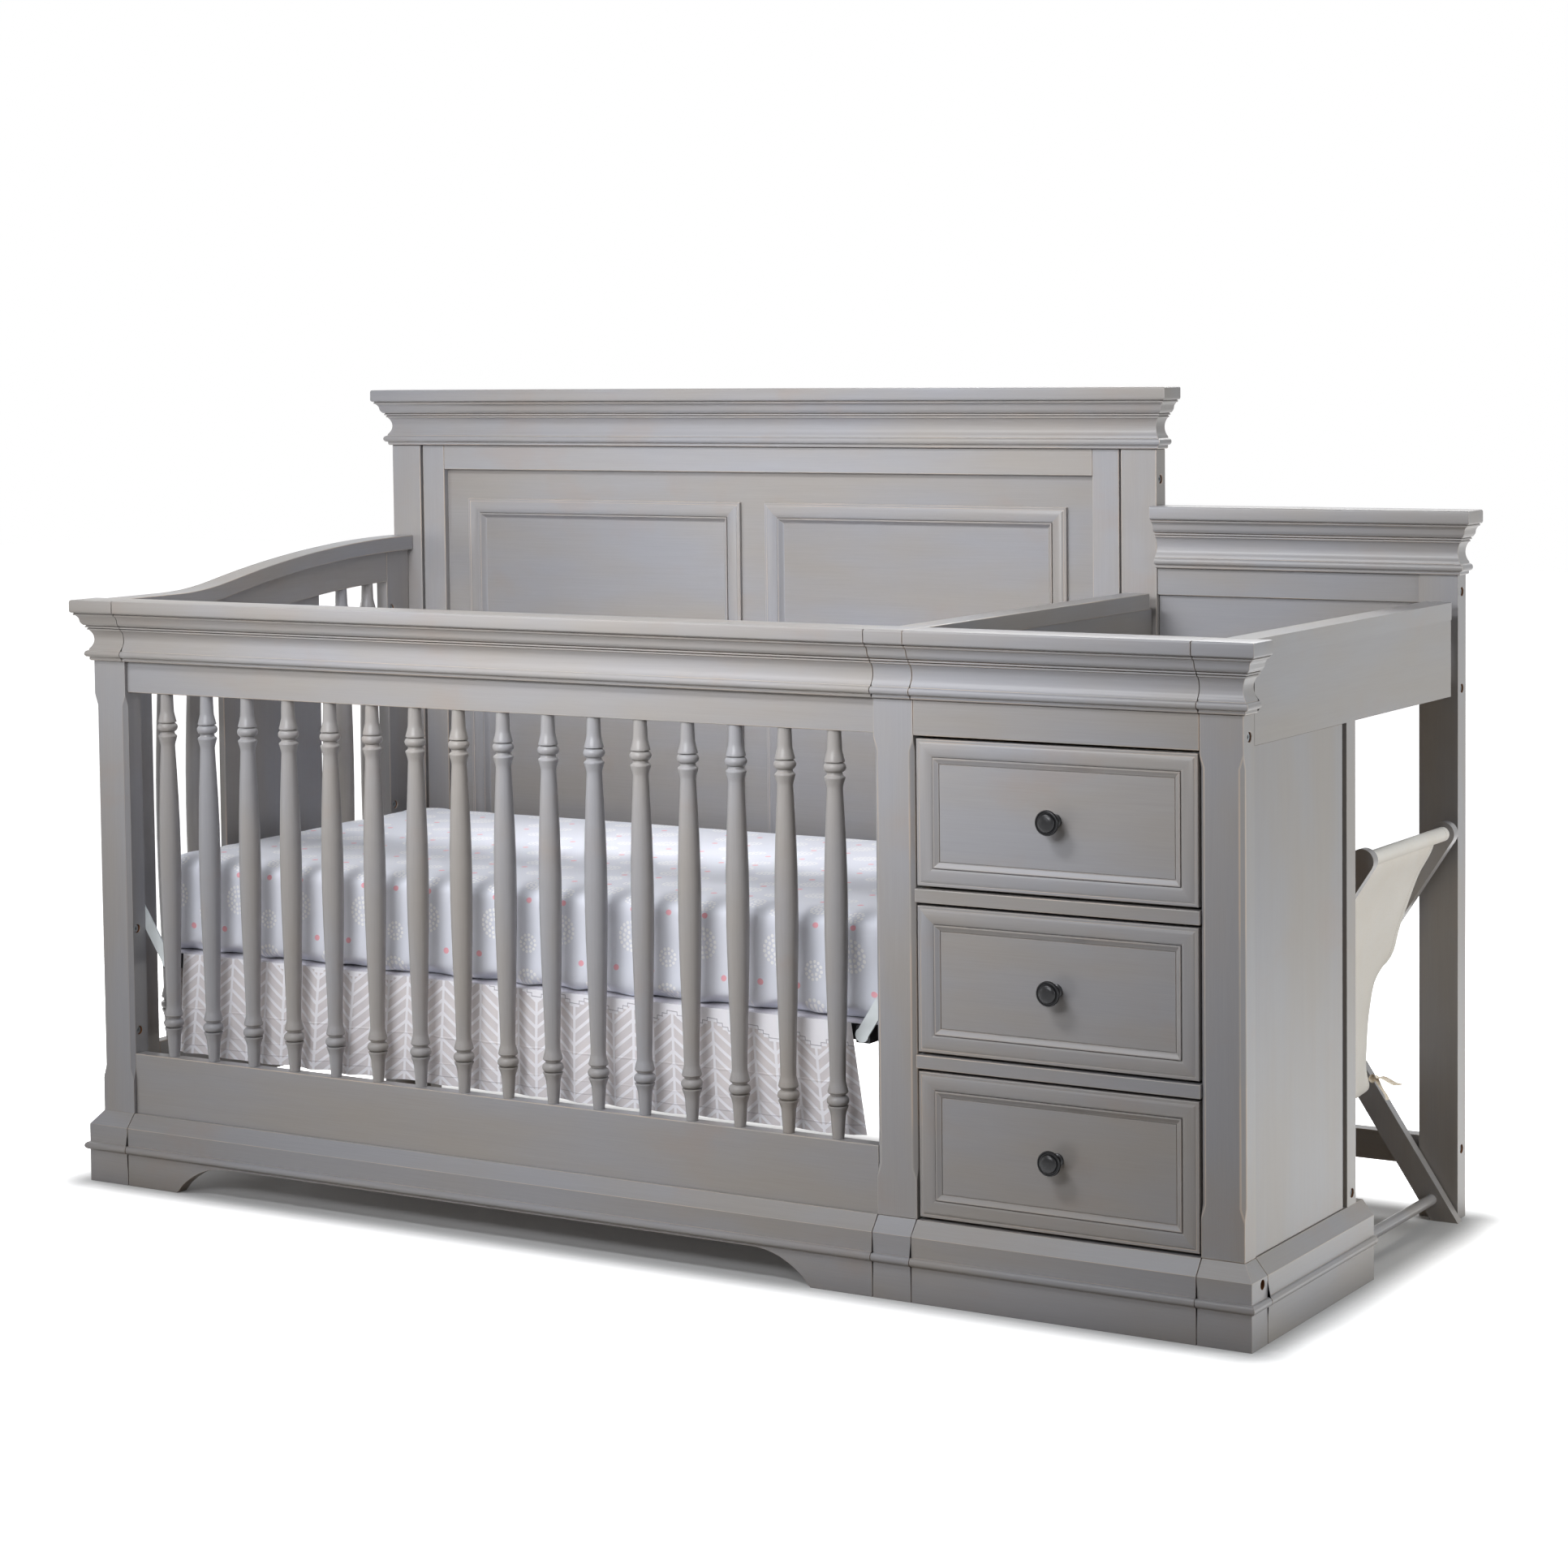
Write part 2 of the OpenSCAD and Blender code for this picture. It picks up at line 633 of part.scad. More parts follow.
module end_centre_slat() color(paint) placed() difference() {
    board(end_slat_x, [end_mid_y - centre_slat_w / 2, end_mid_y + centre_slat_w / 2],
          [low_rail_z[1], end_back_h]);
    above_sub_rail();
}

module end_spindles() color(paint) placed() difference() {
    for (d = [-end_spindle_far, -end_spindle_near, end_spindle_near, end_spindle_far])
        let (v = end_mid_y + d)
        spindle(end_mid_x, v, [low_rail_z[1], end_top(v + 10) - cap_t - sub_rail_h + 1]);
    above_sub_rail();
}

// ---- Headboard ----------------------------------------------------------------

head_x = [0, mid_post_x + post_w];
head_stile_l = [leg_w + head_groove, leg_w + head_groove + head_stile_w];
head_leg_r = mid_post_x + post_w - leg_w;
head_stile_r = [head_leg_r - head_groove - head_stile_w, head_leg_r - head_groove];
head_field_x = [head_stile_l[1], head_stile_r[0]];
head_rail_z = headboard_h - head_rail_h;

module headboard_left_leg() color(paint) placed()
    board([0, leg_w], [leg_y, back_y], [0, headboard_h]);

module headboard_right_leg() color(paint) placed() difference() {
    board([head_leg_r, head_x[1]], [leg_y, back_y], [0, headboard_h]);
    bolt_hole(head_leg_bolt);
}

// The cornice of a back: its front face is at the legs' face and it returns at its ends.
module back_cornice(x, left_return, z) translate([0, leg_y, z]) {
    mid = (x[0] + x[1]) / 2;
    front = cornice_section(leg_t);
    side = cornice_section(x[1] - mid);
    translate([x[1], 0, 0]) corner(front, side, x[1] - mid, leg_t, cornice_out);
    if (left_return)
        translate([x[0], 0, 0]) mirror([1, 0, 0]) corner(front, side, mid - x[0], leg_t, cornice_out);
    else along_x(front, [x[0], mid]);
}

module headboard_cornice() color(paint) placed() back_cornice(head_x, true, headboard_h);

module headboard_top_rail() color(paint) placed()
    board(head_field_x, [leg_y + 2, leg_y + 2 + rail_t], [head_rail_z, headboard_h]);

module headboard_stiles() color(paint) placed() {
    for (x = [head_stile_l, head_stile_r])
        board(x, [leg_y + 2, leg_y + 2 + rail_t], [head_panel_low - head_low_rail_h, headboard_h]);
    for (x = [[leg_w, head_stile_l[0]], [head_stile_r[1], head_leg_r]])
        board(x, [leg_y + 10, leg_y + 2 + rail_t], [head_panel_low - head_low_rail_h, headboard_h]);
}

// Face of a picture-frame moulding of width w: a lip, a broad roll, a fillet and a slope down
// by drop to the field. Distance from its outer edge against height below the roll's crest.
function moulding_face(w, drop) = concat(
    [[0, -3.4], [0.03 * w, -2.5], [0.12 * w, -2.5]],
    cove([0.13 * w, -2.9], [0.705 * w, -3.3], 0.54 * w),
    [[0.71 * w, -4.3], [0.73 * w, -4.3], [0.735 * w, -1.9], [0.78 * w, -1.9],
     [0.83 * w, -0.35 * drop - 0.9], [0.9 * w, -0.7 * drop - 0.5], [0.96 * w, -0.93 * drop]]
);

// Section of the raised frame: how far it lies inside its outer edge against its height.
function frame_section() = let (w = frame_mould_w, t = frame_mould_t) concat(
    [[0, -panel_t / 2]],
    [for (p = moulding_face(w, t)) [p[0], p[1] + t]],
    [[w, 0], [w, -panel_t / 2]]
);

// One side of a raised frame of length len, mitred at both ends, its outer edge along X.
module frame_side(len) intersection() {
    rotate([90, 0, 90]) linear_extrude(len) polygon(frame_section());
    translate([0, 0, -panel_t]) linear_extrude(3 * panel_t)
        polygon([[0, 0], [len, 0], [len - 2 * frame_mould_w, 2 * frame_mould_w],
                 [2 * frame_mould_w, 2 * frame_mould_w]]);
}

module raised_frame(x, z) translate([x[0], leg_y + head_panel_inset, z[0]]) rotate([90, 0, 0]) {
    w = x[1] - x[0];
    h = z[1] - z[0];
    frame_side(w);
    translate([w, h, 0]) rotate([0, 0, 180]) frame_side(w);
    translate([w, 0, 0]) rotate([0, 0, 90]) frame_side(h);
    translate([0, h, 0]) rotate([0, 0, -90]) frame_side(h);
}

module headboard_panel() color(paint) placed() {
    board(head_field_x,
          [leg_y + head_panel_inset, leg_y + head_panel_inset + panel_t],
          [head_panel_low, head_rail_z]);
    frame_w = (head_field_x[1] - head_field_x[0] - 3 * frame_margin) / 2;
    for (i = [0, 1])
        let (x = head_field_x[0] + frame_margin + i * (frame_w + frame_margin))
        raised_frame([x, x + frame_w], [head_panel_low + frame_margin, head_rail_z - frame_margin - 2]);
}

module headboard_bottom_rail() color(paint) placed()
    board(head_field_x, [leg_y + 2, leg_y + 2 + rail_t],
          [head_panel_low - head_low_rail_h, head_panel_low]);

// ---- Divider between crib and changer -------------------------------------------

divider_rail_x = [divider_x, divider_x + rail_t];
divider_end_y = leg_y - tray_end_gap;

module divider_cap_rail() color(paint) placed()
    board([divider_x + (rail_t - cap_w) / 2, divider_x + (rail_t + cap_w) / 2],
          [post_d, divider_end_y], [top_z - cap_t, top_z]);

module divider_frame() color(paint) placed() {
    board(divider_rail_x, [post_d, leg_y], [tray_rail_z, top_z - cap_t]);
    board(divider_rail_x, [post_d, leg_y], low_rail_z);
    for (y = [[post_d, post_d + end_stile_w], [leg_y - end_stile_w, leg_y]])
        board(divider_rail_x, y, [low_rail_z[1], tray_rail_z]);
}

module divider_panel() color(paint) placed()
    board([divider_x + (rail_t - panel_t) / 2, divider_x + (rail_t + panel_t) / 2],
          [post_d + end_stile_w, leg_y - end_stile_w], [low_rail_z[1], tray_rail_z]);

// ---- Changer cabinet ------------------------------------------------------------

bay_x = [mid_post_x + post_w, right_post_x];
side_x = [body_w - side_inset - side_t, body_w - side_inset];
left_panel_x = [divider_rail_x[1], box_x0 - box_gap];

module changer_front_cornice() color(paint) placed() translate([0, 0, cornice_z])
    along_x(cornice_section(post_d), bay_x);

module changer_apron() color(paint) placed() board(bay_x, [0, post_d], [apron_z, cornice_z]);

module drawer_divider_rails() color(paint) placed()
    for (i = [1, 2])
        let (z = low_drawer_z + i * drawer_pitch - drawer_gap - divider_rail_h)
        board(bay_x, [0, post_d], [z, z + divider_rail_h]);

module changer_front_plinth() color(paint) placed() along_x(plinth_section(post_d), bay_x);

module changer_side_plinth() color(paint) placed() translate([body_w, 0, 0])
    along_y(plinth_section(side_t + side_inset), [post_d, side_plinth_d]);

module cabinet_side_panel() color(paint) placed() {
    board(side_x, [post_d, cabinet_d - rear_stile_w - rear_groove], [plinth_h, tray_rail_z]);
    board([side_x[0], side_x[1] - 7], [cabinet_d - rear_stile_w - rear_groove, cabinet_d - rear_stile_w],
          [plinth_h, tray_rail_z]);
}

module cabinet_rear_stile() color(paint) placed() difference() {
    board([side_x[0], body_w], [cabinet_d - rear_stile_w, cabinet_d], [plinth_h, tray_rail_z]);
    bolt_hole(rear_stile_bolt);
}

module cabinet_left_panel() color(raw_wood) placed()
    board(left_panel_x, [post_d, cabinet_d], [plinth_h, tray_rail_z]);

module cabinet_back() color(raw_wood) placed()
    board([left_panel_x[1], side_x[0]], [cabinet_d - panel_t, cabinet_d], [plinth_h, tray_rail_z]);

module cabinet_floor() color(raw_wood) placed()
    board([left_panel_x[0], side_x[0]], [post_d, cabinet_d], [plinth_h - side_t, plinth_h]);

// Places of the three drawers, bottom first.
function drawer_z(i) = low_drawer_z + i * drawer_pitch;
runner_y = [post_d + 6, cabinet_d - panel_t];

module drawer_runners() color(raw_wood) placed()
    for (i = [0:2]) let (z = drawer_z(i) + runner_z) {
        board([left_panel_x[1], box_x0 + runner_in], runner_y, [z, z + runner_h]);
        board([box_x1 - runner_in, box_x1 + box_gap + 1], runner_y, [z, z + runner_h]);
        board([box_x1 + box_gap, side_x[0]], runner_y, [z - runner_h, z + 2 * runner_h]);
    }

// ---- Drawers ----------------------------------------------------------------------

drawer_x = [bay_x[0] + drawer_side_gap, bay_x[1] - drawer_side_gap];
drawer_mid_x = (drawer_x[0] + drawer_x[1]) / 2;

// Section of a drawer front's border: depth behind the post faces against distance from the edge.
function border_section() = let (w = drawer_border, s = drawer_sink) concat(
    [[0, -drawer_front_t / 2]],
    moulding_face(w, s),
    [[0.965 * w, -s - 0.9], [w, -s - 0.9], [w, -drawer_front_t / 2]]
);

module border_side(len) intersection() {
    rotate([90, 0, 90]) linear_extrude(len) polygon(border_section());
    translate([0, 0, -drawer_front_t]) linear_extrude(2 * drawer_front_t)
        polygon([[0, 0], [len, 0], [len - 2 * drawer_border, 2 * drawer_border],
                 [2 * drawer_border, 2 * drawer_border]]);
}

module drawer_front(i) translate([drawer_x[0], 0, drawer_z(i)]) {
    w = drawer_x[1] - drawer_x[0];
    translate([0, drawer_front_t / 2, 0]) cube([w, drawer_front_t / 2, drawer_h]);
    translate([drawer_border, drawer_sink, drawer_border])
        cube([w - 2 * drawer_border, drawer_front_t - drawer_sink, drawer_h - 2 * drawer_border]);
    rotate([90, 0, 0]) {
        border_side(w);
        translate([w, drawer_h, 0]) rotate([0, 0, 180]) border_side(w);
        translate([w, 0, 0]) rotate([0, 0, 90]) border_side(drawer_h);
        translate([0, drawer_h, 0]) rotate([0, 0, -90]) border_side(drawer_h);
    }
}

module drawer_box(i) translate([0, 0, drawer_z(i)]) {
    x = [box_x0, box_x1];
    y = [drawer_front_t, cabinet_d - panel_t - drawer_back_gap];
    z = [box_z, box_z + drawer_box_h];
    groove = runner_in + runner_gap;
    difference() {
        board(x, y, z);
        board([x[0] + drawer_side_t, x[1] - drawer_side_t],
              [y[0] + drawer_side_t, y[1] - drawer_side_t], [z[0] + drawer_bottom_t + 6, z[1] + cut]);
        for (gx = [[x[0] - cut, x[0] + groove], [x[1] - groove, x[1] + cut]])
            board(gx, [post_d + 5, y[1] + cut],
                  [runner_z - runner_gap, runner_z + runner_h + runner_gap]);
        board([x[0] + drawer_side_t, x[1] - drawer_side_t],
              [y[0] + drawer_side_t, y[1] - drawer_side_t], [z[0] - cut, z[0] + 6]);
    }
}

// Turned knob: radius against distance from the sunk panel, as a share of its length.
knob_section = [
    [0, 0], [9, 0], [9, 0.07], [6.8, 0.12], [6, 0.3], [6, 0.45], [7.5, 0.56], [knob_r - 4, 0.64],
    [knob_r - 1, 0.7], [knob_r, 0.74], [knob_r, 0.8], [knob_r - 0.7, 0.84], [knob_r - 1.8, 0.85],
    [knob_r - 2.8, 0.82], [knob_r - 3.8, 0.82], [knob_r - 4.1, 0.87], [knob_r - 5.2, 0.92],
    [knob_r - 8, 0.965], [knob_r - 12, 0.992], [0, 1]
];

module knob(i) translate([drawer_mid_x, front_panel_y, drawer_z(i) + drawer_h / 2])
    rotate([90, 0, 0]) rotate_extrude() polygon([for (p = knob_section) [p[0], p[1] * knob_len]]);

module top_drawer_front() color(paint) placed() drawer_front(2);
module middle_drawer_front() color(paint) placed() drawer_front(1);
module bottom_drawer_front() color(paint) placed() drawer_front(0);
module top_drawer_box() color(raw_wood) placed() drawer_box(2);
module middle_drawer_box() color(raw_wood) placed() drawer_box(1);
module bottom_drawer_box() color(raw_wood) placed() drawer_box(0);
module top_drawer_knob() color(dark_metal) placed() knob(2);
module middle_drawer_knob() color(dark_metal) placed() knob(1);
module bottom_drawer_knob() color(dark_metal) placed() knob(0);

// ---- Changing tray and its back -----------------------------------------------------

tray_rail_x = [body_w - rail_t, body_w];
back_bay_x = [head_x[1], body_w - back_leg_w];

module tray_side_rail() color(paint) placed() {
    board(tray_rail_x, [post_d, divider_end_y], [tray_rail_z, top_z - cap_t]);
    translate([0, 0, top_z - cap_t]) linear_extrude(cap_t) difference() {
        translate([body_w + tray_cap_over - cap_w, post_d]) square([cap_w, divider_end_y - post_d]);
        translate([body_w + tray_cap_over - 10, divider_end_y - 10]) difference() {
            square(10 + cut);
            circle(r = 10);
        }
    }
}

module tray_deck() color(paint) placed()
    board([divider_rail_x[1], tray_rail_x[0]], [post_d, leg_y], [deck_z, deck_z + deck_t]);

module changer_back_cornice() color(paint) placed()
    back_cornice([head_x[1], body_w], false, changer_back_h);

module changer_back_leg() color(paint) placed() difference() {
    board([body_w - back_leg_w, body_w], [leg_y, back_y], [0, changer_back_h]);
    for (p = back_leg_bolts) bolt_hole(p);
}

module changer_back_panel() color(paint) placed() {
    board(back_bay_x, [leg_y + 2, leg_y + 2 + rail_t],
          [changer_back_h - back_rail_h, changer_back_h]);
    board(back_bay_x, [leg_y + 8, leg_y + 8 + panel_t],
          [deck_z, changer_back_h - back_rail_h]);
    board(back_bay_x, [leg_y, leg_y + rail_t], [deck_z - 20, deck_z + deck_t]);
}

module rear_stretcher() color(paint) placed()
    board(back_bay_x, [leg_y + 4, leg_y + 4 + rail_t], [stretcher_z, stretcher_z + stretcher_h]);

// ---- Mattress support -------------------------------------------------------------------

support_z = [support_top - support_h, support_top];
slat_pitch = (support_x1 - support_x0 - strap_w) / (support_slats + 1);

module mattress_support() color(dark_metal) placed() {
    for (x = [support_x0, support_x1 - strap_w])
        board([x, x + strap_w], [post_d + strap_t, leg_y - strap_t], support_z);
    for (y = [support_y0, support_y1 - support_t])
        board([support_x0, support_x1], [y, y + support_t], support_z);
    for (i = [1:support_slats])
        let (x = support_x0 + i * slat_pitch)
        board([x, x + strap_w], [support_y0, support_y1], [support_top - 2 * support_t, support_top]);
}

hanger_low = [support_x0 + strap_w / 2, support_top - support_h / 2];
hanger_high = [post_w / 2 + 12, strap_top_z];

module hanger_shape() {
    d = hanger_high - hanger_low;
    for (p = [hanger_low, hanger_high]) translate(p) circle(d = strap_w - 2);
    translate(hanger_low) rotate(atan2(d[1], d[0])) translate([0, 2 - strap_w / 2])
        square([norm(d), strap_w - 4]);
}

// A two-dimensional shape in the X-Z plane drawn out along Y.
module front_outline_of(y) translate([0, y[1], 0]) rotate([90, 0, 0]) linear_extrude(y[1] - y[0])
    children();

// The straps at one end, with the round heads of their screws.
module hanger_pair() {
    for (y = [[post_d, post_d + strap_t], [leg_y - strap_t, leg_y]])
        front_outline_of(y) hanger_shape();
    for (y = [[post_d + strap_t, post_d + strap_t + 3], [leg_y - strap_t - 3, leg_y - strap_t]])
        front_outline_of(y) translate(hanger_high) circle(r = 6);
}

module support_hangers() color(steel) placed() {
    hanger_pair();
    translate([2 * bed_mid_x, 0, 0]) mirror([1, 0, 0]) hanger_pair();
}

// ---- Mattress ---------------------------------------------------------------------------

// Plan of a rounded rectangle with half sizes h, corner radius r and sides drawn in by bow.
function plan(h, r, bow) = let (
        corners = [[1, 1], [-1, 1], [-1, -1], [1, -1]],
        steps = 8,
        sides = 6
    ) [for (k = [0:3]) let (
            c = [corners[k][0] * (h[0] - r), corners[k][1] * (h[1] - r)],
            n = corners[(k + 1) % 4],
            e = [n[0] * (h[0] - r), n[1] * (h[1] - r)],
            out = [cos(90 * k + 90), sin(90 * k + 90)]
        ) each concat(
            [for (i = [0:steps]) let (a = 90 * k + 90 * i / steps) c + r * [cos(a), sin(a)]],
            [for (i = [1:sides - 1]) let (t = i / sides) c + (e - c) * t + out * (r - bow * sin(180 * t))]
        )];

mattress_half = [mattress_l / 2, mattress_w / 2];

// Inset and height of the mattress's rings, from its underside to its crown.
mattress_rings = [
    [14, 0], [4, 3.5], [1, 10], [mattress_waist, mattress_h / 2], [1, mattress_h - 12],
    [4, mattress_h - 4], [12, mattress_h], [60, mattress_h + 0.45 * mattress_crown],
    [150, mattress_h + 0.8 * mattress_crown], [260, mattress_h + 0.95 * mattress_crown]
];

// Rings of equally many points joined into one closed solid.
module lofted(rings, low, high) {
    n = len(rings[0]);
    m = len(rings);
    polyhedron(
        concat([for (r = rings) each r], [low, high]),
        concat(
            [for (j = [0:m - 2], i = [0:n - 1]) let (a = j * n + i, b = j * n + (i + 1) % n)
                each [[a, b + n, b], [a, a + n, b + n]]],
            [for (i = [0:n - 1]) [i, (i + 1) % n, m * n]],
            [for (i = [0:n - 1]) [(m - 1) * n + (i + 1) % n, (m - 1) * n + i, m * n + 1]]
        )
    );
}

module mattress() color(sheet_grey) placed() translate([bed_mid_x, end_mid_y, mattress_z])
    lofted([for (g = mattress_rings)
        [for (p = plan(mattress_half - [g[0], g[0]], max(mattress_corner - g[0], 24),
                       g[0] < 60 ? mattress_waist : 0)) [p[0], p[1], g[1]]]],
        [0, 0, 0], [0, 0, mattress_h + mattress_crown]);

// ---- Skirt --------------------------------------------------------------------------------

// A folded cloth between a top edge p and a hem q, its face pointing along out.
module folded_cloth(p, q, out, folds, nx, nz) {
    function at(i, j, back) = let (
            t = i / nx,
            s = j / nz,
            top = p[0] + (p[1] - p[0]) * t,
            hem = q[0] + (q[1] - q[0]) * t,
            swing = skirt_fold * (0.12 + 0.88 * s) * sin(360 * folds * t) * (t * (1 - t) > 0 ? 1 : 0)
        ) top + (hem - top) * s + out * (swing - back * skirt_t);
    n = (nx + 1) * (nz + 1);
    points = concat([for (j = [0:nz], i = [0:nx]) at(i, j, 0)],
                    [for (j = [0:nz], i = [0:nx]) at(i, j, 1)]);
    w = nx + 1;
    polyhedron(points, concat(
        [for (j = [0:nz - 1], i = [0:nx - 1]) let (a = j * w + i)
            each [[a, a + 1, a + w + 1], [a, a + w + 1, a + w]]],
        [for (j = [0:nz - 1], i = [0:nx - 1]) let (a = n + j * w + i)
            each [[a, a + w + 1, a + 1], [a, a + w, a + w + 1]]],
        [for (i = [0:nx - 1]) each [[i, n + i, n + i + 1], [i, n + i + 1, i + 1]]],
        [for (i = [0:nx - 1]) let (a = nz * w + i) each [[a, n + a + 1, n + a], [a, a + 1, n + a + 1]]],
        [for (j = [0:nz - 1]) let (a = j * w) each [[a, a + w, n + a + w], [a, n + a + w, n + a]]],
        [for (j = [0:nz - 1]) let (a = j * w + nx) each [[a, n + a + w, a + w], [a, n + a, n + a + w]]]
    ));
}

skirt_z = [support_top - skirt_drop, support_top + soft_gap + skirt_t];
skirt_x = [bed_mid_x - skirt_l / 2, bed_mid_x + skirt_l / 2];
skirt_flare = 18;
skirt_side_x = support_x0 - 5;
skirt_side_y = [support_y0 + 14, support_y1 - 14];

module crib_skirt() color(skirt_grey) placed() {
    board([support_x0 - 4, support_x1 + 4], [skirt_y + 1, support_y1],
          [support_top + soft_gap, support_top + soft_gap + skirt_t]);
    folded_cloth([[skirt_x[0], skirt_y, skirt_z[1]], [skirt_x[1], skirt_y, skirt_z[1]]],
                 [[skirt_x[0] - skirt_flare, skirt_y, skirt_z[0]],
                  [skirt_x[1] + skirt_flare, skirt_y, skirt_z[0]]],
                 [0, -1, 0], skirt_folds, 6 * skirt_folds, 3);
    folded_cloth([[skirt_side_x, skirt_side_y[1], skirt_z[1]], [skirt_side_x, skirt_side_y[0], skirt_z[1]]],
                 [[skirt_side_x, skirt_side_y[1], skirt_z[0]], [skirt_side_x, skirt_side_y[0], skirt_z[0]]],
                 [-1, 0, 0], 7, 42, 2);
    translate([2 * bed_mid_x, 0, 0]) mirror([1, 0, 0])
        folded_cloth([[skirt_side_x, skirt_side_y[1], skirt_z[1]], [skirt_side_x, skirt_side_y[0], skirt_z[1]]],
                     [[skirt_side_x, skirt_side_y[1], skirt_z[0]], [skirt_side_x, skirt_side_y[0], skirt_z[0]]],
                     [-1, 0, 0], 7, 42, 2);
}

// ---- Hamper -------------------------------------------------------------------------------

arm_reach = hamper_top_span / 2 / cos(arm_angle);

// A hamper arm in the X-Z plane, seen from its pivot; it rises to the side given by dir.
module arm_shape(dir) difference() {
    rotate(90 - dir * (90 - arm_angle)) {
        translate([arm_reach, 0]) circle(d = arm_w);
        translate([-pivot_z / sin(arm_angle) - arm_w, -arm_w / 2])
            square([arm_reach + pivot_z / sin(arm_angle) + arm_w, arm_w]);
    }
    translate([-2 * arm_reach, -pivot_z - arm_reach]) square([4 * arm_reach, arm_reach]);
}

// A dowel across the hamper at a place seen from the pivot.
module dowel(p, y, r) translate([hamper_x + p[0], y[1], pivot_z + p[1]]) rotate([90, 0, 0])
    cylinder(h = y[1] - y[0], r = r);

dowel_high = [hamper_top_span / 2, hamper_top_z - pivot_z];
dowel_low = [hamper_low_span / 2, hamper_low_z - pivot_z];

module hamper_outer_frame() color(paint) placed() {
    for (y = [[hamper_y0, hamper_y0 + arm_t], [hamper_y1 - arm_t, hamper_y1]])
        translate([hamper_x, 0, pivot_z]) front_outline_of(y) arm_shape(-1);
    dowel([-dowel_high[0], dowel_high[1]], [hamper_y0, hamper_y1], dowel_r);
    dowel(dowel_low, [hamper_y0, hamper_y1], dowel_r);
    for (y = [[hamper_y0, inner_y0 + arm_t], [inner_y1 - arm_t, hamper_y1]])
        dowel([0, 0], y, pivot_r);
}

module hamper_inner_frame() color(paint) placed() {
    for (y = [[inner_y0, inner_y0 + arm_t], [inner_y1 - arm_t, inner_y1]])
        translate([hamper_x, 0, pivot_z]) front_outline_of(y) difference() {
            arm_shape(1);
            circle(r = pivot_r + pivot_gap);
        }
    dowel(dowel_high, [inner_y0, inner_y1], dowel_r);
    dowel([-dowel_low[0], dowel_low[1]], [inner_y0, inner_y1], dowel_r);
}

// Half width of the bag against its height.
function bag_width(z) = bag_half + (dowel_high[0] - dowel_r + 1 - bag_half)
    * pow((z - bag_low_z) / (hamper_top_z - bag_low_z), 2.2);

// Outline of the bag seen from the front, drawn in by t on every side.
function bag_outline(t) = let (
        n = 9,
        zs = [for (i = [0:n]) bag_low_z + 14 + (hamper_top_z - bag_low_z - 14) * i / n]
    ) concat(
        [[bag_half - 12, bag_low_z + t], [bag_half - 2 - t / 2, bag_low_z + 5 + t / 2]],
        [for (z = zs) [bag_width(z) - t, z]],
        [for (i = [n:-1:0]) [t - bag_width(zs[i]), zs[i]]],
        [[2 + t / 2 - bag_half, bag_low_z + 5 + t / 2], [12 - bag_half, bag_low_z + t]]
    );

module hamper_bag() color(canvas) placed() difference() {
    union() {
        translate([hamper_x, 0, 0]) front_outline(bag_outline(0), [bag_y0, bag_y1]);
        for (s = [-1, 1]) dowel([s * dowel_high[0], dowel_high[1]], [bag_y0, bag_y1],
                                dowel_r + soft_gap + canvas_t);
    }
    translate([hamper_x, 0, 0])
        front_outline(bag_outline(canvas_t), [bag_y0 + canvas_t, bag_y1 - canvas_t]);
    translate([hamper_x, 0, 0]) front_outline_of([bag_y0 - cut, bag_y1 + cut]) intersection() {
        polygon(bag_outline(canvas_t));
        translate([-hamper_top_span, bag_end_z])
            square([2 * hamper_top_span, hamper_top_z - bag_end_z]);
    }
    for (s = [-1, 1]) dowel([s * dowel_high[0], dowel_high[1]], [bag_y0 - cut, bag_y1 + cut],
                            dowel_r + soft_gap);
}

// ---- Bolts ----------------------------------------------------------------------------------

module frame_bolts() color(steel) placed() {
    for (p = concat(left_post_bolts, end_stile_bolts, back_leg_bolts)) bolt(p);
    bolt(right_post_bolt);
    bolt(base_block_bolt, 2 * bolt_sink);
    bolt(rear_stile_bolt);
    bolt(head_leg_bolt);
}

front_left_post();
front_middle_post();
front_right_post();
post_base_blocks();
post_cap_blocks();
crib_front_cornice();
crib_front_top_rail();
crib_front_bottom_rail();
crib_front_plinth();
crib_front_spindles();
end_cap_rail();
end_rails();
end_stiles();
end_centre_slat();
end_spindles();
headboard_left_leg();
headboard_right_leg();
headboard_cornice();
headboard_top_rail();
headboard_stiles();
headboard_panel();
headboard_bottom_rail();
divider_cap_rail();
divider_frame();
divider_panel();
changer_front_cornice();
changer_apron();
drawer_divider_rails();
changer_front_plinth();
changer_side_plinth();
cabinet_side_panel();
cabinet_rear_stile();
cabinet_left_panel();
cabinet_back();
cabinet_floor();
drawer_runners();
tray_side_rail();
tray_deck();
changer_back_cornice();
changer_back_leg();
changer_back_panel();
rear_stretcher();
top_drawer_front();
middle_drawer_front();
bottom_drawer_front();
top_drawer_box();
middle_drawer_box();
bottom_drawer_box();
top_drawer_knob();
middle_drawer_knob();
bottom_drawer_knob();
mattress_support();
support_hangers();
mattress();
crib_skirt();
hamper_outer_frame();
hamper_inner_frame();
hamper_bag();
frame_bolts();
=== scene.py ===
"""A baby crib with an attached changing cabinet, three drawers and a folding hamper, in its finishes."""
import math

import bpy
from mathutils import Matrix, Vector, noise


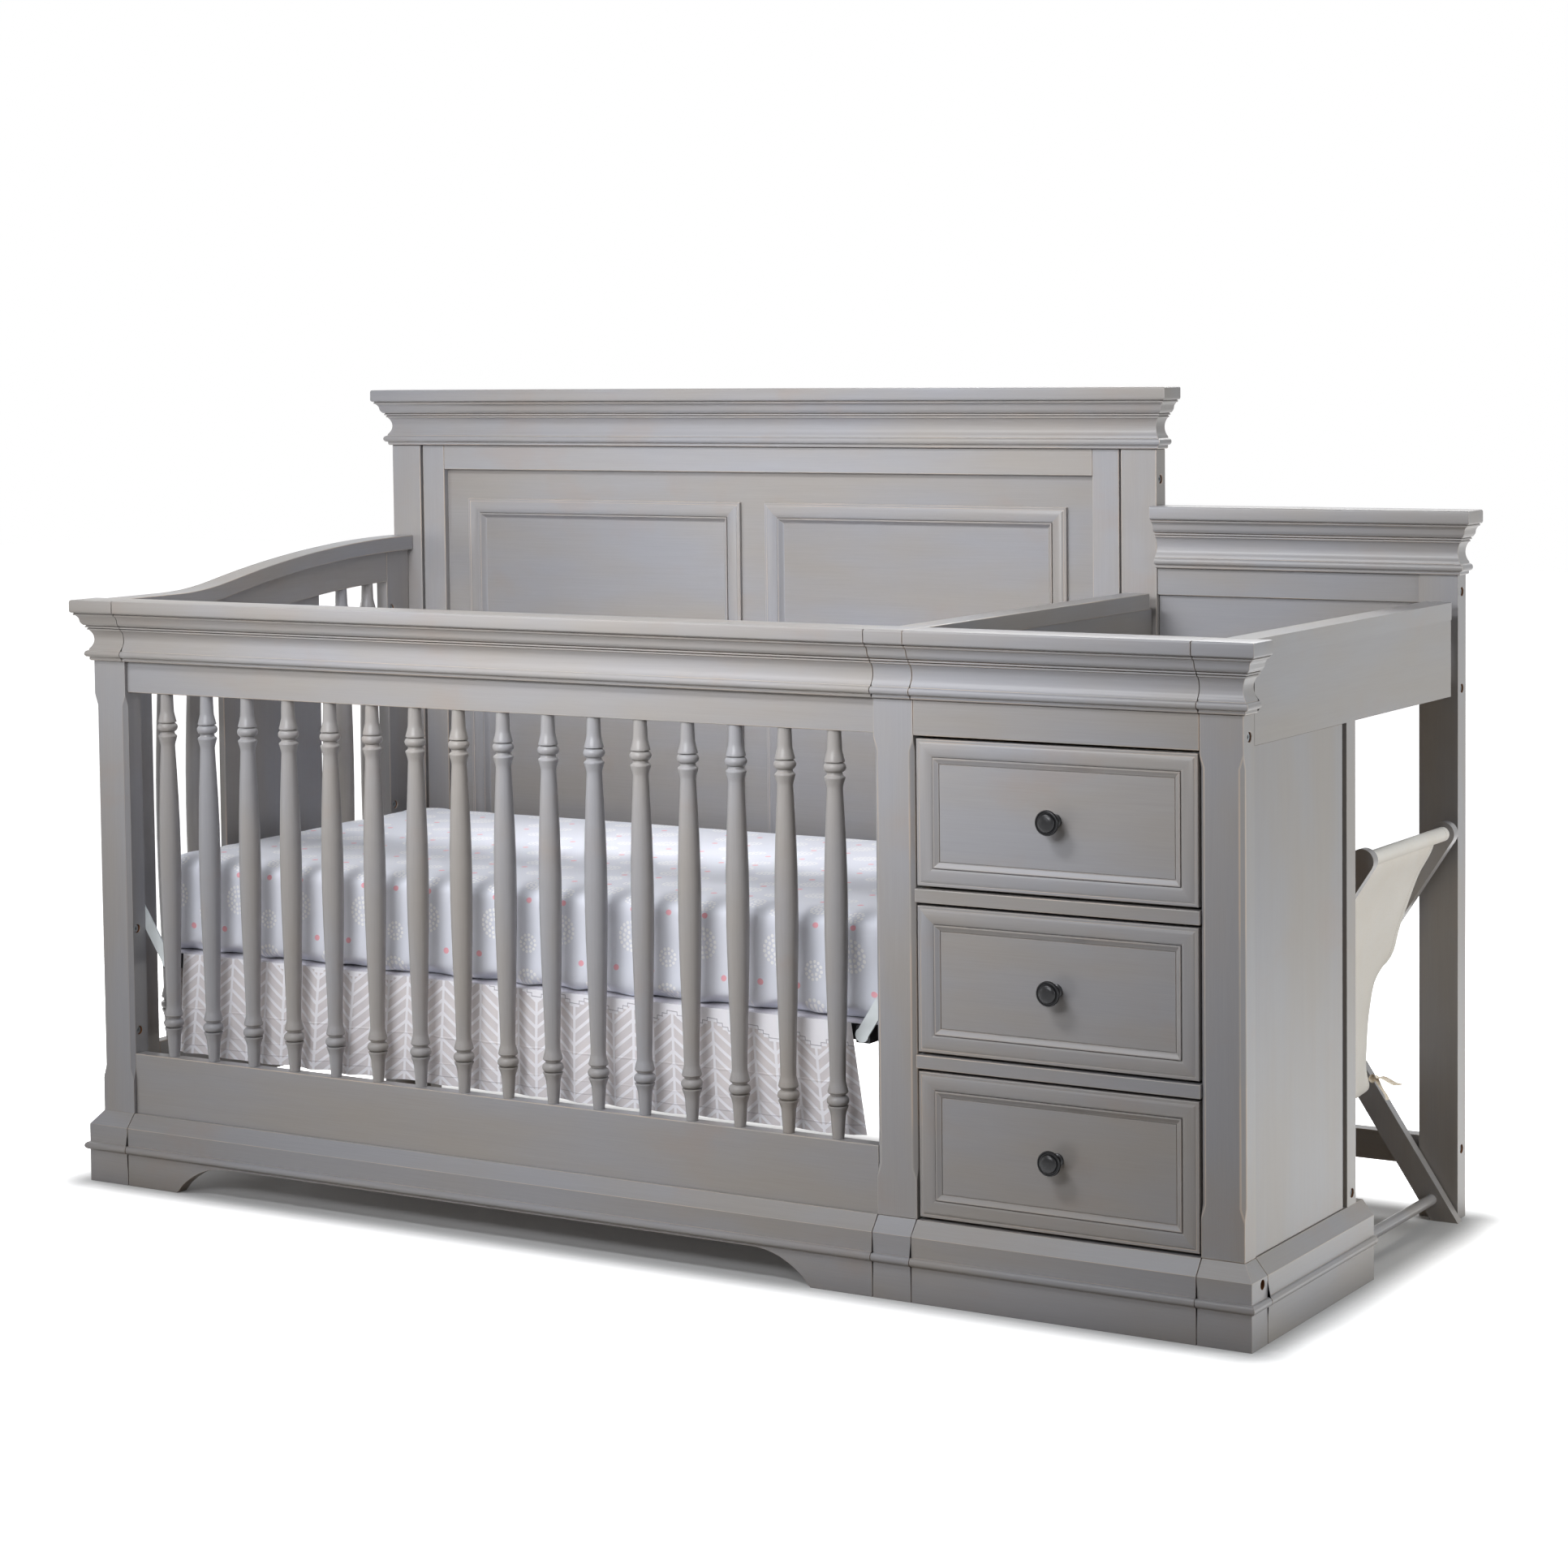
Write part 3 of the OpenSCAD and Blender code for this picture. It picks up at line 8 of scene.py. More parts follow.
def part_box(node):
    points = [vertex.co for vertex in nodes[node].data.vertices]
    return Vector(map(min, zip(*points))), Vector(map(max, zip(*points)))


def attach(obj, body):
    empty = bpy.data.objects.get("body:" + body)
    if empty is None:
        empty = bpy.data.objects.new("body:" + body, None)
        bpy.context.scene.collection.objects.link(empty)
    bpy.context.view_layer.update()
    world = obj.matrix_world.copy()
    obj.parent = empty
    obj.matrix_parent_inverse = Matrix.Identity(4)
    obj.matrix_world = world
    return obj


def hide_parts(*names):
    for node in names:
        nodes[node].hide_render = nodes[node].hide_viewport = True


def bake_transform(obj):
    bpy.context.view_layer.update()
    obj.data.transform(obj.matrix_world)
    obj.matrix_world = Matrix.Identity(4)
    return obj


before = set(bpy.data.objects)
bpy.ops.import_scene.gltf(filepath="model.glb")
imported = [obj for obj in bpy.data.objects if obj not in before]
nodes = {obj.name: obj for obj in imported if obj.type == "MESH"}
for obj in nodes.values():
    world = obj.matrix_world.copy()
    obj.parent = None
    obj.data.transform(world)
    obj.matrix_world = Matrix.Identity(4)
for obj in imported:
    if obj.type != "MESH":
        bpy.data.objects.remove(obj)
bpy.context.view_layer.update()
scene = bpy.context.scene


def at(x, y, z):
    """A point given in millimetres from the crib's left front corner, in the shared frame."""
    return Vector(((x - 940.5) / 1000, (y - 373.25) / 1000, z / 1000))


def smooth(t):
    t = min(max(t, 0.0), 1.0)
    return t * t * (3 - 2 * t)


# ---- Camera ------------------------------------------------------------------

def set_camera():
    data = bpy.data.cameras.new("front_right")
    data.sensor_width = 36
    data.lens = 80.957
    data.shift_y = -0.13768
    data.clip_end = 60
    camera = bpy.data.objects.new("front_right", data)
    scene.collection.objects.link(camera)
    yaw, pitch, roll = -0.5471010805, -0.0619247678, -0.0111881645
    ahead = Vector((math.sin(yaw) * math.cos(pitch), math.cos(yaw) * math.cos(pitch), math.sin(pitch)))
    level = Vector((math.cos(yaw), -math.sin(yaw), 0))
    upward = level.cross(ahead)
    right = math.cos(roll) * level + math.sin(roll) * upward
    up = -math.sin(roll) * level + math.cos(roll) * upward
    turn = Matrix((right, up, -ahead)).transposed()
    camera.matrix_world = Matrix.Translation((2.7084857, -4.3599539, 1.2492249)) @ turn.to_4x4()
    scene.camera = camera


set_camera()


# ---- Finishes ------------------------------------------------------------------

def colour(red, green, blue):
    """A colour written as it looks on a screen, from 0 to 255."""
    return tuple(c / 12.92 if c <= 0.04045 else ((c + 0.055) / 1.055) ** 2.4
                 for c in (red / 255, green / 255, blue / 255)) + (1.0,)


class Tone:
    """A value, place or colour that varies over a finish; arithmetic on values adds the nodes for it."""

    def __init__(self, finish, socket):
        self.finish, self.socket = finish, socket

    def math(self, operation, *others):
        return self.finish.node("Math", {"operation": operation}, dict(enumerate((self, *others))))

    def __add__(self, other): return self.math("ADD", other)
    def __sub__(self, other): return self.math("SUBTRACT", other)
    def __mul__(self, other): return self.math("MULTIPLY", other)
    def __truediv__(self, other): return self.math("DIVIDE", other)
    def __mod__(self, other): return self.math("FLOORED_MODULO", other)
    def __abs__(self): return self.math("ABSOLUTE")
    def __lt__(self, other): return self.math("LESS_THAN", other)
    def __gt__(self, other): return self.math("GREATER_THAN", other)
    __radd__ = __add__

    def __rsub__(self, other):
        return self.finish.node("Math", {"operation": "SUBTRACT"}, {0: other, 1: self})

    def ramp(self, low, high):
        """0 below low and 1 above high, smooth between them; low may be the larger."""
        return self.finish.node("MapRange", {"interpolation_type": "SMOOTHSTEP"},
                                {"Value": self, "From Min": low, "From Max": high})

    def stretched(self, x, y, z, shift=(0, 0, 0)):
        return self.finish.node("VectorMath", {"operation": "MULTIPLY_ADD"},
                                {0: self, 1: (x, y, z), 2: shift})

    def parts(self):
        return [self.finish.node("SeparateXYZ", {}, {0: self}, out=i) for i in range(3)]


class Finish:
    """A material made of one surface shader and the nodes that vary it."""

    def __init__(self, name, tree=None, **constants):
        self.tree = tree
        if tree is None:
            self.material = bpy.data.materials.new(name)
            self.material.use_nodes = True
            self.tree = self.material.node_tree
            self.shader = self.tree.nodes["Principled BSDF"]
        for key, value in constants.items():
            self.shader.inputs[key.replace("_", " ")].default_value = value

    def node(self, kind, settings, values, out=0):
        """Any node: its type, its settings, then the values or links of its sockets."""
        made = self.tree.nodes.new("ShaderNode" + kind)
        for key, value in settings.items():
            setattr(made, key, value)
        for key, value in values.items():
            if isinstance(value, Tone):
                self.tree.links.new(value.socket, made.inputs[key])
            else:
                made.inputs[key].default_value = value
        return Tone(self, made.outputs[out]) if made.outputs else None

    def place(self):
        return self.node("TexCoord", {}, {}, out="Object")

    def cloth_place(self):
        return self.node("UVMap", {"uv_map": "cut"}, {})

    def mottle(self, place, scale=1.0, detail=2.0, roughness=0.5, bend=0.0):
        return self.node("TexNoise", {}, {"Vector": place, "Scale": scale, "Detail": detail,
                                          "Roughness": roughness, "Distortion": bend})

    def mix(self, share, first, second, mode="MIX"):
        return self.node("Mix", {"data_type": "RGBA", "blend_type": mode},
                         {0: share, 6: first, 7: second}, out=2)

    def bump(self, height, distance, strength):
        return self.node("Bump", {}, {"Strength": strength, "Distance": distance, "Height": height})

    def surface(self, shader):
        """Makes another shader than the first one the surface."""
        self.tree.links.new(shader.socket, self.tree.nodes["Material Output"].inputs["Surface"])

    def feed(self, **tones):
        for key, tone in tones.items():
            self.tree.links.new(tone.socket, self.shader.inputs[key.replace("_", " ")])
        return self.material


def distance(a, b):
    """How far a place is from an axis, from its two offsets."""
    return (a * a + b * b).math("SQRT")


GREY_COOL = colour(150, 150, 154)
GREY_WARM = colour(152, 147, 142)
GREY_BROWN = colour(154, 141, 132)
WHITE = (1, 1, 1, 1)
RUBBED_AND_HIGHLIGHT = colour(180, 166, 154)
RAW = colour(126, 84, 52)


def stained_wood(board, grain, shift, frame_of=None):
    """Dove-grey stain under satin lacquer. grain is the axis along which the boards were cut.
    frame_of gives the middles, half sizes and width of mitred mouldings, whose upright sides have upright
    grain. The walls of the board's bolt holes are raw wood."""
    f = Finish("stain_" + board, Specular_IOR_Level=0.3, Coat_Weight=0.05, Coat_Roughness=0.22)
    place = f.place()

    def figure(axis):
        along = [1.0 if a == axis else 0.0 for a in "XYZ"]

        def drawn(length, width, offset):
            return place.stretched(*[1 / length if a else 1 / width for a in along],
                                   shift=(shift + offset, shift * 1.7 - offset, shift * 0.6 + offset))
        cloud = f.mottle(drawn(0.42, 0.13, 0.0), 1.0, 3.0, 0.55)
        streak = f.mottle(drawn(0.30, 0.012, 3.1), 1.0, 4.0, 0.6, 0.4)
        fibre = f.mottle(drawn(0.07, 0.0015, 5.3), 1.0, 3.0, 0.6)
        return cloud, streak, fibre

    cloud, streak, fibre = figure(grain)
    if frame_of:
        (mids_x, mid_z), halves, width = frame_of
        x, _, z = place.parts()
        uprights = None
        for centre, (half_x, half_z) in zip(mids_x, halves):
            from_side = half_x - abs(x - centre)
            from_end = half_z - abs(z - mid_z)
            here = (from_side < width) * (from_side < from_end) * (from_side > 0)
            uprights = here if uprights is None else uprights + here
        other = figure("Z")
        cloud, streak, fibre = [a + (b - a) * uprights for a, b in zip((cloud, streak, fibre), other)]
    stain = f.mix(cloud.ramp(0.3, 0.7), GREY_COOL, GREY_WARM)
    worn = f.mottle(place.stretched(5.5, 5.5, 7.5, (shift, shift, shift)), 1.0, 4.0, 0.6)
    stain = f.mix(worn.ramp(0.54, 0.74) * 0.4, stain, GREY_BROWN)
    # Each board's own factor makes its colour lighter or darker: partly the depth of its stain, partly
    # painted light and shade.
    depth = (1 + (streak - 0.5) * 0.08 + (fibre - 0.5) * 0.13) * STAIN_DEPTH_AND_PAINTED_LIGHT.get(board, 1.0)
    shade = f.node("CombineColor", {}, {0: depth, 1: depth, 2: depth})
    stain = f.mix(1.0, stain, shade, "MULTIPLY")
    for (y, z), face in BORES.get(board, ()):
        x, across, up = place.parts()
        inside = ((distance(across - y, up - z) < BORE_RADIUS)
                  * (x < face - BORE_RIM) * (x > face - BORE_DEPTH))
        stain = f.mix(inside, stain, RAW)
    return f.feed(Base_Color=stain,
                  Roughness=0.33 + (cloud - 0.5) * 0.12 + (fibre - 0.5) * 0.1,
                  Normal=f.bump(fibre * 0.6 + streak * 0.5, 0.00008, 0.4))


def rubbed_lit_and_shaded_edges():
    """The arrises, painted paler: partly the stain rubbed through in places, partly a painted highlight;
    painted shade lies dark where two boards meet.
    """
    f = Finish("rubbed_lit_and_shaded_edges", Specular_IOR_Level=0.5, Coat_Weight=0.15, Coat_Roughness=0.25)
    place = f.place()
    wear = f.mottle(place.stretched(7, 7, 7), 1.0, 4.0, 0.6)
    # The pale edge colours are rubbed-through stain and a painted highlight together.
    edge = f.mix(wear.ramp(0.36, 0.62), colour(160, 156, 153), RUBBED_AND_HIGHLIGHT)
    # Ambient occlusion darkens the colour in joints and quirks: painted shade.
    nook_shade = f.node("AmbientOcclusion", {"samples": 6}, {"Distance": 0.004}, out="AO")
    return f.feed(Base_Color=f.mix(nook_shade.ramp(0.72, 0.38), edge, colour(44, 41, 38)),
                  Roughness=0.34 + (wear - 0.5) * 0.2)


def plain_wood(name, tone, shift):
    """Unfinished softwood of the drawer boxes and of what is hidden in the cabinet."""
    f = Finish(name, Roughness=0.62)
    place = f.place()
    growth = f.mottle(place.stretched(2.2, 60, 38, (shift, 0, 0)), 1.0, 4.0, 0.62, 0.5)
    fibre = f.mottle(place.stretched(24, 700, 700))
    wood = f.mix(growth.ramp(0.35, 0.65), tone, colour(190, 155, 112))
    return f.feed(Base_Color=f.mix(fibre.ramp(0.3, 0.7) * 0.25, wood, colour(160, 126, 88)),
                  Normal=f.bump(fibre + growth * 0.5, 0.0003, 0.35))


def metal(name, tone, roughness, grit, metallic):
    f = Finish(name, Metallic=metallic)
    place = f.place()
    rough = f.mottle(place.stretched(1, 1, 1), 180.0, 3.0)
    patch = f.mottle(place.stretched(1, 1, 1), 14.0, 3.0)
    darker = tuple(c * 0.72 for c in tone[:3]) + (1.0,)
    return f.feed(Base_Color=f.mix(patch.ramp(0.35, 0.7), tone, darker),
                  Roughness=roughness + (rough - 0.5) * 0.16,
                  Normal=f.bump(rough, grit, 0.4))


def hole(y, z, face):
    """The axis of a bolt hole and the face that it is bored into, from millimetres."""
    spot = at(face, y, z)
    return (spot.y, spot.z), spot.x


# In metres. As far down as its rim, the wall of a bolt hole is stained like the face.
BORE_RADIUS, BORE_DEPTH, BORE_RIM = 0.0067, 0.03, 0.0004
BORES = {
    "front_left_post": [hole(15, z, 60) for z in (232, 387)],
    "front_right_post": [hole(19, 764, 1881)],
    "post_base_blocks": [hole(17, 79, 1897)],
    "cabinet_rear_stile": [hole(348, 123, 1881)],
    "changer_back_leg": [hole(756.5, z, 1881) for z in (897, 760, 100)],
    "headboard_right_leg": [hole(756.5, 1051.5, 1414)],
    "end_stiles": [hole(693, z, 30) for z in (495, 825)],
}


# How much light each board gives back against a plain one: no two boards take the stain alike, and the
# factors also hold painted light and shade, making boards lighter or darker where the lamps light them too
# little or too much.
STAIN_DEPTH_AND_PAINTED_LIGHT = {"headboard_panel": 0.9, "end_centre_slat": 0.92, "cabinet_side_panel": 0.93,
               "changer_back_panel": 0.92, "headboard_cornice": 0.95, "crib_front_plinth": 0.93,
               "crib_front_spindles": 1.05, "front_middle_post": 1.05, "top_drawer_front": 1.06}


MOULDING_WIDTH = 0.033   # of the mitred frames on the drawers and the headboard, in metres


def dress(name, finish):
    nodes[name].data.materials[0] = finish


def wood_finishes():
    """Every board gets its own cut of the stain, with the grain along the board."""
    upright = """front_left_post front_middle_post front_right_post crib_front_spindles end_stiles
        end_centre_slat end_spindles headboard_left_leg headboard_right_leg headboard_stiles
        cabinet_side_panel cabinet_rear_stile changer_back_leg divider_panel
        hamper_outer_frame hamper_inner_frame""".split()
    deep = """end_cap_rail end_rails divider_cap_rail divider_frame changer_side_plinth
        tray_side_rail""".split()
    across = """post_base_blocks post_cap_blocks crib_front_cornice crib_front_top_rail
        crib_front_bottom_rail crib_front_plinth headboard_cornice headboard_top_rail
        headboard_bottom_rail changer_front_cornice changer_apron drawer_divider_rails
        changer_front_plinth tray_deck changer_back_cornice changer_back_panel
        rear_stretcher""".split()
    for i, (axis, names) in enumerate((("Z", upright), ("Y", deep), ("X", across))):
        for k, name in enumerate(names):
            dress(name, stained_wood(name, axis, 11.0 * i + 2.37 * k))
    for k, name in enumerate(("top_drawer_front", "middle_drawer_front", "bottom_drawer_front")):
        low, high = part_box(name)
        mid, half = (low + high) / 2, (high - low) / 2
        dress(name, stained_wood(name, "X", 41.0 + 5.1 * k,
                                 (((mid.x,), mid.z), ((half.x, half.z),), MOULDING_WIDTH)))
    # The headboard's field and the flat wood round its two frames of mouldings, in metres.
    field_left, field_right, flat = at(106, 0, 0).x, at(1308, 0, 0).x, 0.046
    width = (field_right - field_left - 3 * flat) / 2
    centres = (field_left + flat + width / 2, field_right - flat - width / 2)
    base, top = 0.346, 1.008
    dress("headboard_panel", stained_wood(
        "headboard_panel", "X", 61.0,
        ((centres, (base + top) / 2), ((width / 2, (top - base) / 2),) * 2, MOULDING_WIDTH)))


wood_finishes()
for k, name in enumerate("""cabinet_left_panel cabinet_back cabinet_floor drawer_runners
        top_drawer_box middle_drawer_box bottom_drawer_box""".split()):
    dress(name, plain_wood("softwood_" + name, colour(214, 186, 146), 3.3 * k))
for name in ("top", "middle", "bottom"):
    dress(name + "_drawer_knob", metal("oiled_bronze_" + name, colour(14, 14, 18), 0.3, 0.0001, 0.3))
dress("frame_bolts", metal("zinc_bolts", colour(170, 177, 182), 0.5, 0.00005, 0.4))
dress("support_hangers", metal("painted_straps", colour(214, 220, 222), 0.4, 0.00006, 0.2))
dress("mattress_support", metal("dark_support", colour(42, 42, 46), 0.5, 0.0001, 0.3))


# ---- Soft edges on the boards ------------------------------------------------------

WELD_WITHIN = 0.00002
FLAT_UNDER, SHARP_OVER, EASED_OVER = math.radians(0.4), math.radians(32), math.radians(33)
EASE_FINE, EASE_PLAIN = 0.0006, 0.0013


def edge_tidier():
    """Joins the tessellated faces and shades them smooth, except over sharp edges."""
    group = bpy.data.node_groups.new("tidy_edges", "GeometryNodeTree")
    group.interface.new_socket("Geometry", in_out="INPUT", socket_type="NodeSocketGeometry")
    group.interface.new_socket("Geometry", in_out="OUTPUT", socket_type="NodeSocketGeometry")
    add, link = group.nodes.new, group.links.new
    start, end = add("NodeGroupInput"), add("NodeGroupOutput")
    weld = add("GeometryNodeMergeByDistance")
    weld.inputs["Distance"].default_value = WELD_WITHIN
    angle = add("GeometryNodeInputMeshEdgeAngle")
    sharp = add("FunctionNodeCompare")
    sharp.operation = "GREATER_THAN"
    sharp.inputs[1].default_value = SHARP_OVER
    shade = add("GeometryNodeSetMeshNormal")
    shade.mode = "SHARPNESS"
    link(start.outputs[0], weld.inputs["Geometry"])
    link(weld.outputs[0], shade.inputs["Mesh"])
    link(angle.outputs["Unsigned Angle"], sharp.inputs[0])
    link(sharp.outputs[0], shade.inputs["Edge Sharpness"])
    link(shade.outputs[0], end.inputs[0])
    return group


def soften_edges():
    """Eases the arrises of the boards, whose new faces show the stain rubbed through, with a painted
    highlight and painted shade where boards meet.
    """
    tidy = edge_tidier()
    moulded = """post_base_blocks post_cap_blocks crib_front_cornice crib_front_plinth headboard_cornice
        changer_front_cornice changer_front_plinth changer_side_plinth changer_back_cornice
        top_drawer_front middle_drawer_front bottom_drawer_front headboard_panel""".split()
    turned = """crib_front_spindles end_spindles top_drawer_knob middle_drawer_knob
        bottom_drawer_knob""".split()
    # The eased faces' finish: rubbed-through stain with a painted highlight, and painted shade where boards
    # meet.
    worn = rubbed_lit_and_shaded_edges()
    for name, node in nodes.items():
        if name in ("mattress", "crib_skirt", "hamper_bag"):
            continue
        welded = node.modifiers.new("tidy_edges", "NODES")
        welded.node_group = tidy
        if name in ("frame_bolts", "support_hangers"):
            continue
        if name not in turned:
            flats = node.modifiers.new("flat_faces", "DECIMATE")
            flats.decimate_type = "DISSOLVE"
            flats.angle_limit = FLAT_UNDER
        round_over = node.modifiers.new("eased_edges", "BEVEL")
        round_over.width = EASE_FINE if name in moulded + turned else EASE_PLAIN
        if node.data.materials[0].name.startswith("stain_"):
            node.data.materials.append(worn)
            round_over.material = 1
        round_over.segments = 2
        round_over.limit_method = "ANGLE"
        round_over.angle_limit = EASED_OVER
        round_over.harden_normals = True


soften_edges()


# ---- Soft pieces ---------------------------------------------------------------------

def new_piece(name, points, faces, finish):
    mesh = bpy.data.meshes.new(name)
    mesh.from_pydata([tuple(p) for p in points], [], faces)
    mesh.shade_smooth()
    piece = bpy.data.objects.new(name, mesh)
    scene.collection.objects.link(piece)
    mesh.materials.append(finish)
    return piece


def grid_faces(columns, rows, closed=False):
    """Faces of a grid stored row by row; closed joins the last column to the first."""
    span = columns if closed else columns - 1
    return [(j * columns + i, j * columns + (i + 1) % columns,
             (j + 1) * columns + (i + 1) % columns, (j + 1) * columns + i)
            for j in range(rows - 1) for i in range(span)]


def lay_out(piece, spot):
    """Stores where each corner lay in the flat cut, in metres, for the woven and printed patterns."""
    layer = piece.data.uv_layers.new(name="cut")
    spots = [spot(v.index, v.co) for v in piece.data.vertices]
    for loop in piece.data.loops:
        layer.data[loop.index].uv = spots[loop.vertex_index]


def own_shape(piece):
    """Applies the piece's modifiers to its mesh."""
    seen = piece.evaluated_get(bpy.context.evaluated_depsgraph_get())
    shaped = bpy.data.meshes.new_from_object(seen)
    piece.modifiers.clear()
    old, piece.data = piece.data, shaped
    bpy.data.meshes.remove(old)


def remesh(piece, voxel):
    """Gives a closed shape an even mesh, which cloth needs to swell evenly."""
    even = piece.modifiers.new("even_mesh", "REMESH")
    even.mode, even.voxel_size = "VOXEL", voxel
    own_shape(piece)


def refine(piece):
    """Divides each face of the cloth once and shades it smooth."""
    fine = piece.modifiers.new("fine_cloth", "SUBSURF")
    fine.levels = fine.render_levels = 1
    own_shape(piece)
    piece.data.shade_smooth()


def swell(piece, slack, reach):
    """Lets evenly meshed cloth swell for twenty frames, no point further than reach."""
    before = [v.co.copy() for v in piece.data.vertices]
    cover = piece.modifiers.new("cover", "CLOTH").settings
    cover.quality, cover.mass = 4, 0.25
    cover.tension_stiffness = cover.compression_stiffness = 22
    cover.shear_stiffness, cover.bending_stiffness = 6, 0.3
    cover.use_pressure, cover.uniform_pressure_force = True, 4.0
    cover.shrink_min = -slack
    cover.effector_weights.gravity = 0
    for step in range(1, 21):
        scene.frame_set(step)
    own_shape(piece)
    scene.frame_set(1)
    for v, start in zip(piece.data.vertices, before):
        moved = v.co - start
        if moved.length > reach:
            v.co = start + moved * (reach / moved.length)


# ---- Mattress in its fitted sheet -----------------------------------------------------

BED_MIDDLE, BED_HALF = (707.0, 387.5), (659.0, 345.0)
BED_LOW, BED_HIGH, BED_CROWN = 350.2, 488.2, 5.0


def rounded_plan(half_x, half_y, radius, count):
    """Evenly spaced points round a rectangle with rounded corners."""
    sides = [2 * (half_x - radius), 2 * (half_y - radius)]
    bend = math.pi * radius / 2
    total = 2 * sum(sides) + 4 * bend
    points = []
    for k in range(count):
        run = total * k / count
        for side in range(4):
            length = sides[side % 2]
            out = side * math.pi / 2 - math.pi / 2
            ahead = Vector((-math.sin(out), math.cos(out)))
            away = Vector((math.cos(out), math.sin(out)))
            half = (half_y, half_x)[side % 2]
            if run <= length:
                points.append(away * half + ahead * (run - length / 2))
                break
            run -= length
            if run <= bend:
                turn = run / radius
                middle = away * (half - radius) + ahead * (length / 2)
                points.append(middle + radius * (away * math.cos(turn) + ahead * math.sin(turn)))
                break
            run -= bend
    return points


def sheet_pull(p):
    """How far the sheet stands off the pad at p: slack on the lower sides, pulls towards the corners."""
    x, y, z = p.x, p.y, p.z
    down = min(max((BED_HIGH / 1000 - z) / 0.138, 0.0), 1.0)
    corner = 1 - min(abs(abs(x - at(BED_MIDDLE[0], 0, 0).x) - 0.62), 0.3) / 0.3
    right = smooth((x - at(1080, 0, 0).x) / 0.26)
    folds = noise.noise(Vector((x * 7 + z * 12, y * 7 + z * 10, z * 4))) * 0.0016
    slant = x * 0.75 + y * 0.75 - z * 0.9 * (1 + 0.6 * noise.noise(Vector((x * 6, y * 6, z * 6))))
    creases = abs(noise.noise(Vector((slant * 42, z * 9, 5.0)))) ** 0.6
    pull = creases * -0.0115 * max(corner * 0.3, right) * down ** 0.5
    hem = noise.noise(Vector((x * 46, y * 46, 3.0 + z * 4))) * 0.0042 * smooth((down - 0.5) / 0.45)
    top = noise.noise(Vector((x * 3.2, y * 6.5, 9.0))) * 0.0012
    return (folds + pull) * smooth(down * 1.6) + hem + top * (1 - down)


def sheet_print():
    """Cool grey cotton printed with rounds of white specks and small pink dots, on staggered rows."""
    f = Finish("printed_sheet", Roughness=0.82, Sheen_Weight=0.25, Sheen_Roughness=0.5)
    across, along, _ = f.cloth_place().parts()

    rows_apart = 0.084

    def specks(pitch, shift_x, shift_y):
        """Offsets from the nearest spot of a staggered print."""
        row = ((along + shift_y) / rows_apart).math("FLOOR")
        stagger = (row % 2.0) * (pitch / 2)
        u = ((across + shift_x + stagger) % pitch) - pitch / 2
        v = ((along + shift_y) % rows_apart) - rows_apart / 2
        return u, v

    def round_of(u, v, step, rings, size):
        """Specks of one size on rings that lie a step apart."""
        reach = distance(u, v)
        ring = (reach / step).math("ROUND").math("MAXIMUM", 1.0)
        turn = v.math("ARCTAN2", u) / (2 * math.pi)
        beside = (((turn * ring * 6 + ring * 0.37) % 1.0) - 0.5) * (step * math.pi / 3)
        off = reach - ring * step
        return distance(off, beside).ramp(size, size * 0.82) * (ring < rings + 0.5)

    large = round_of(*specks(0.118, 0.011, 0.006), 0.0064, 3, 0.0026)
    small = round_of(*specks(0.118, 0.070, 0.030), 0.0062, 2, 0.0025)
    white = large.math("MAXIMUM", small)
    pink = distance(*specks(0.059, 0.037, 0.052)).ramp(0.0048, 0.0043)
    place = f.place()
    dye = f.mottle(place.stretched(5, 5, 5), 1.0, 3.0)
    cloth = f.mix(dye.ramp(0.3, 0.7), colour(232, 234, 243), colour(225, 228, 238))
    cloth = f.mix(pink * 0.92, cloth, colour(246, 172, 182))
    cloth = f.mix(white * 0.96, cloth, colour(254, 254, 255))
    warp = (across * 2600).math("SINE") * 0.5
    weft = (along * 2600).math("SINE") * 0.5
    crease = f.mottle(place.stretched(11, 11, 26), 1.0, 5.0, 0.55, 0.8)
    return f.feed(Base_Color=cloth, Normal=f.bump(warp * weft * 0.12 + crease * 1.2, 0.0011, 0.5))


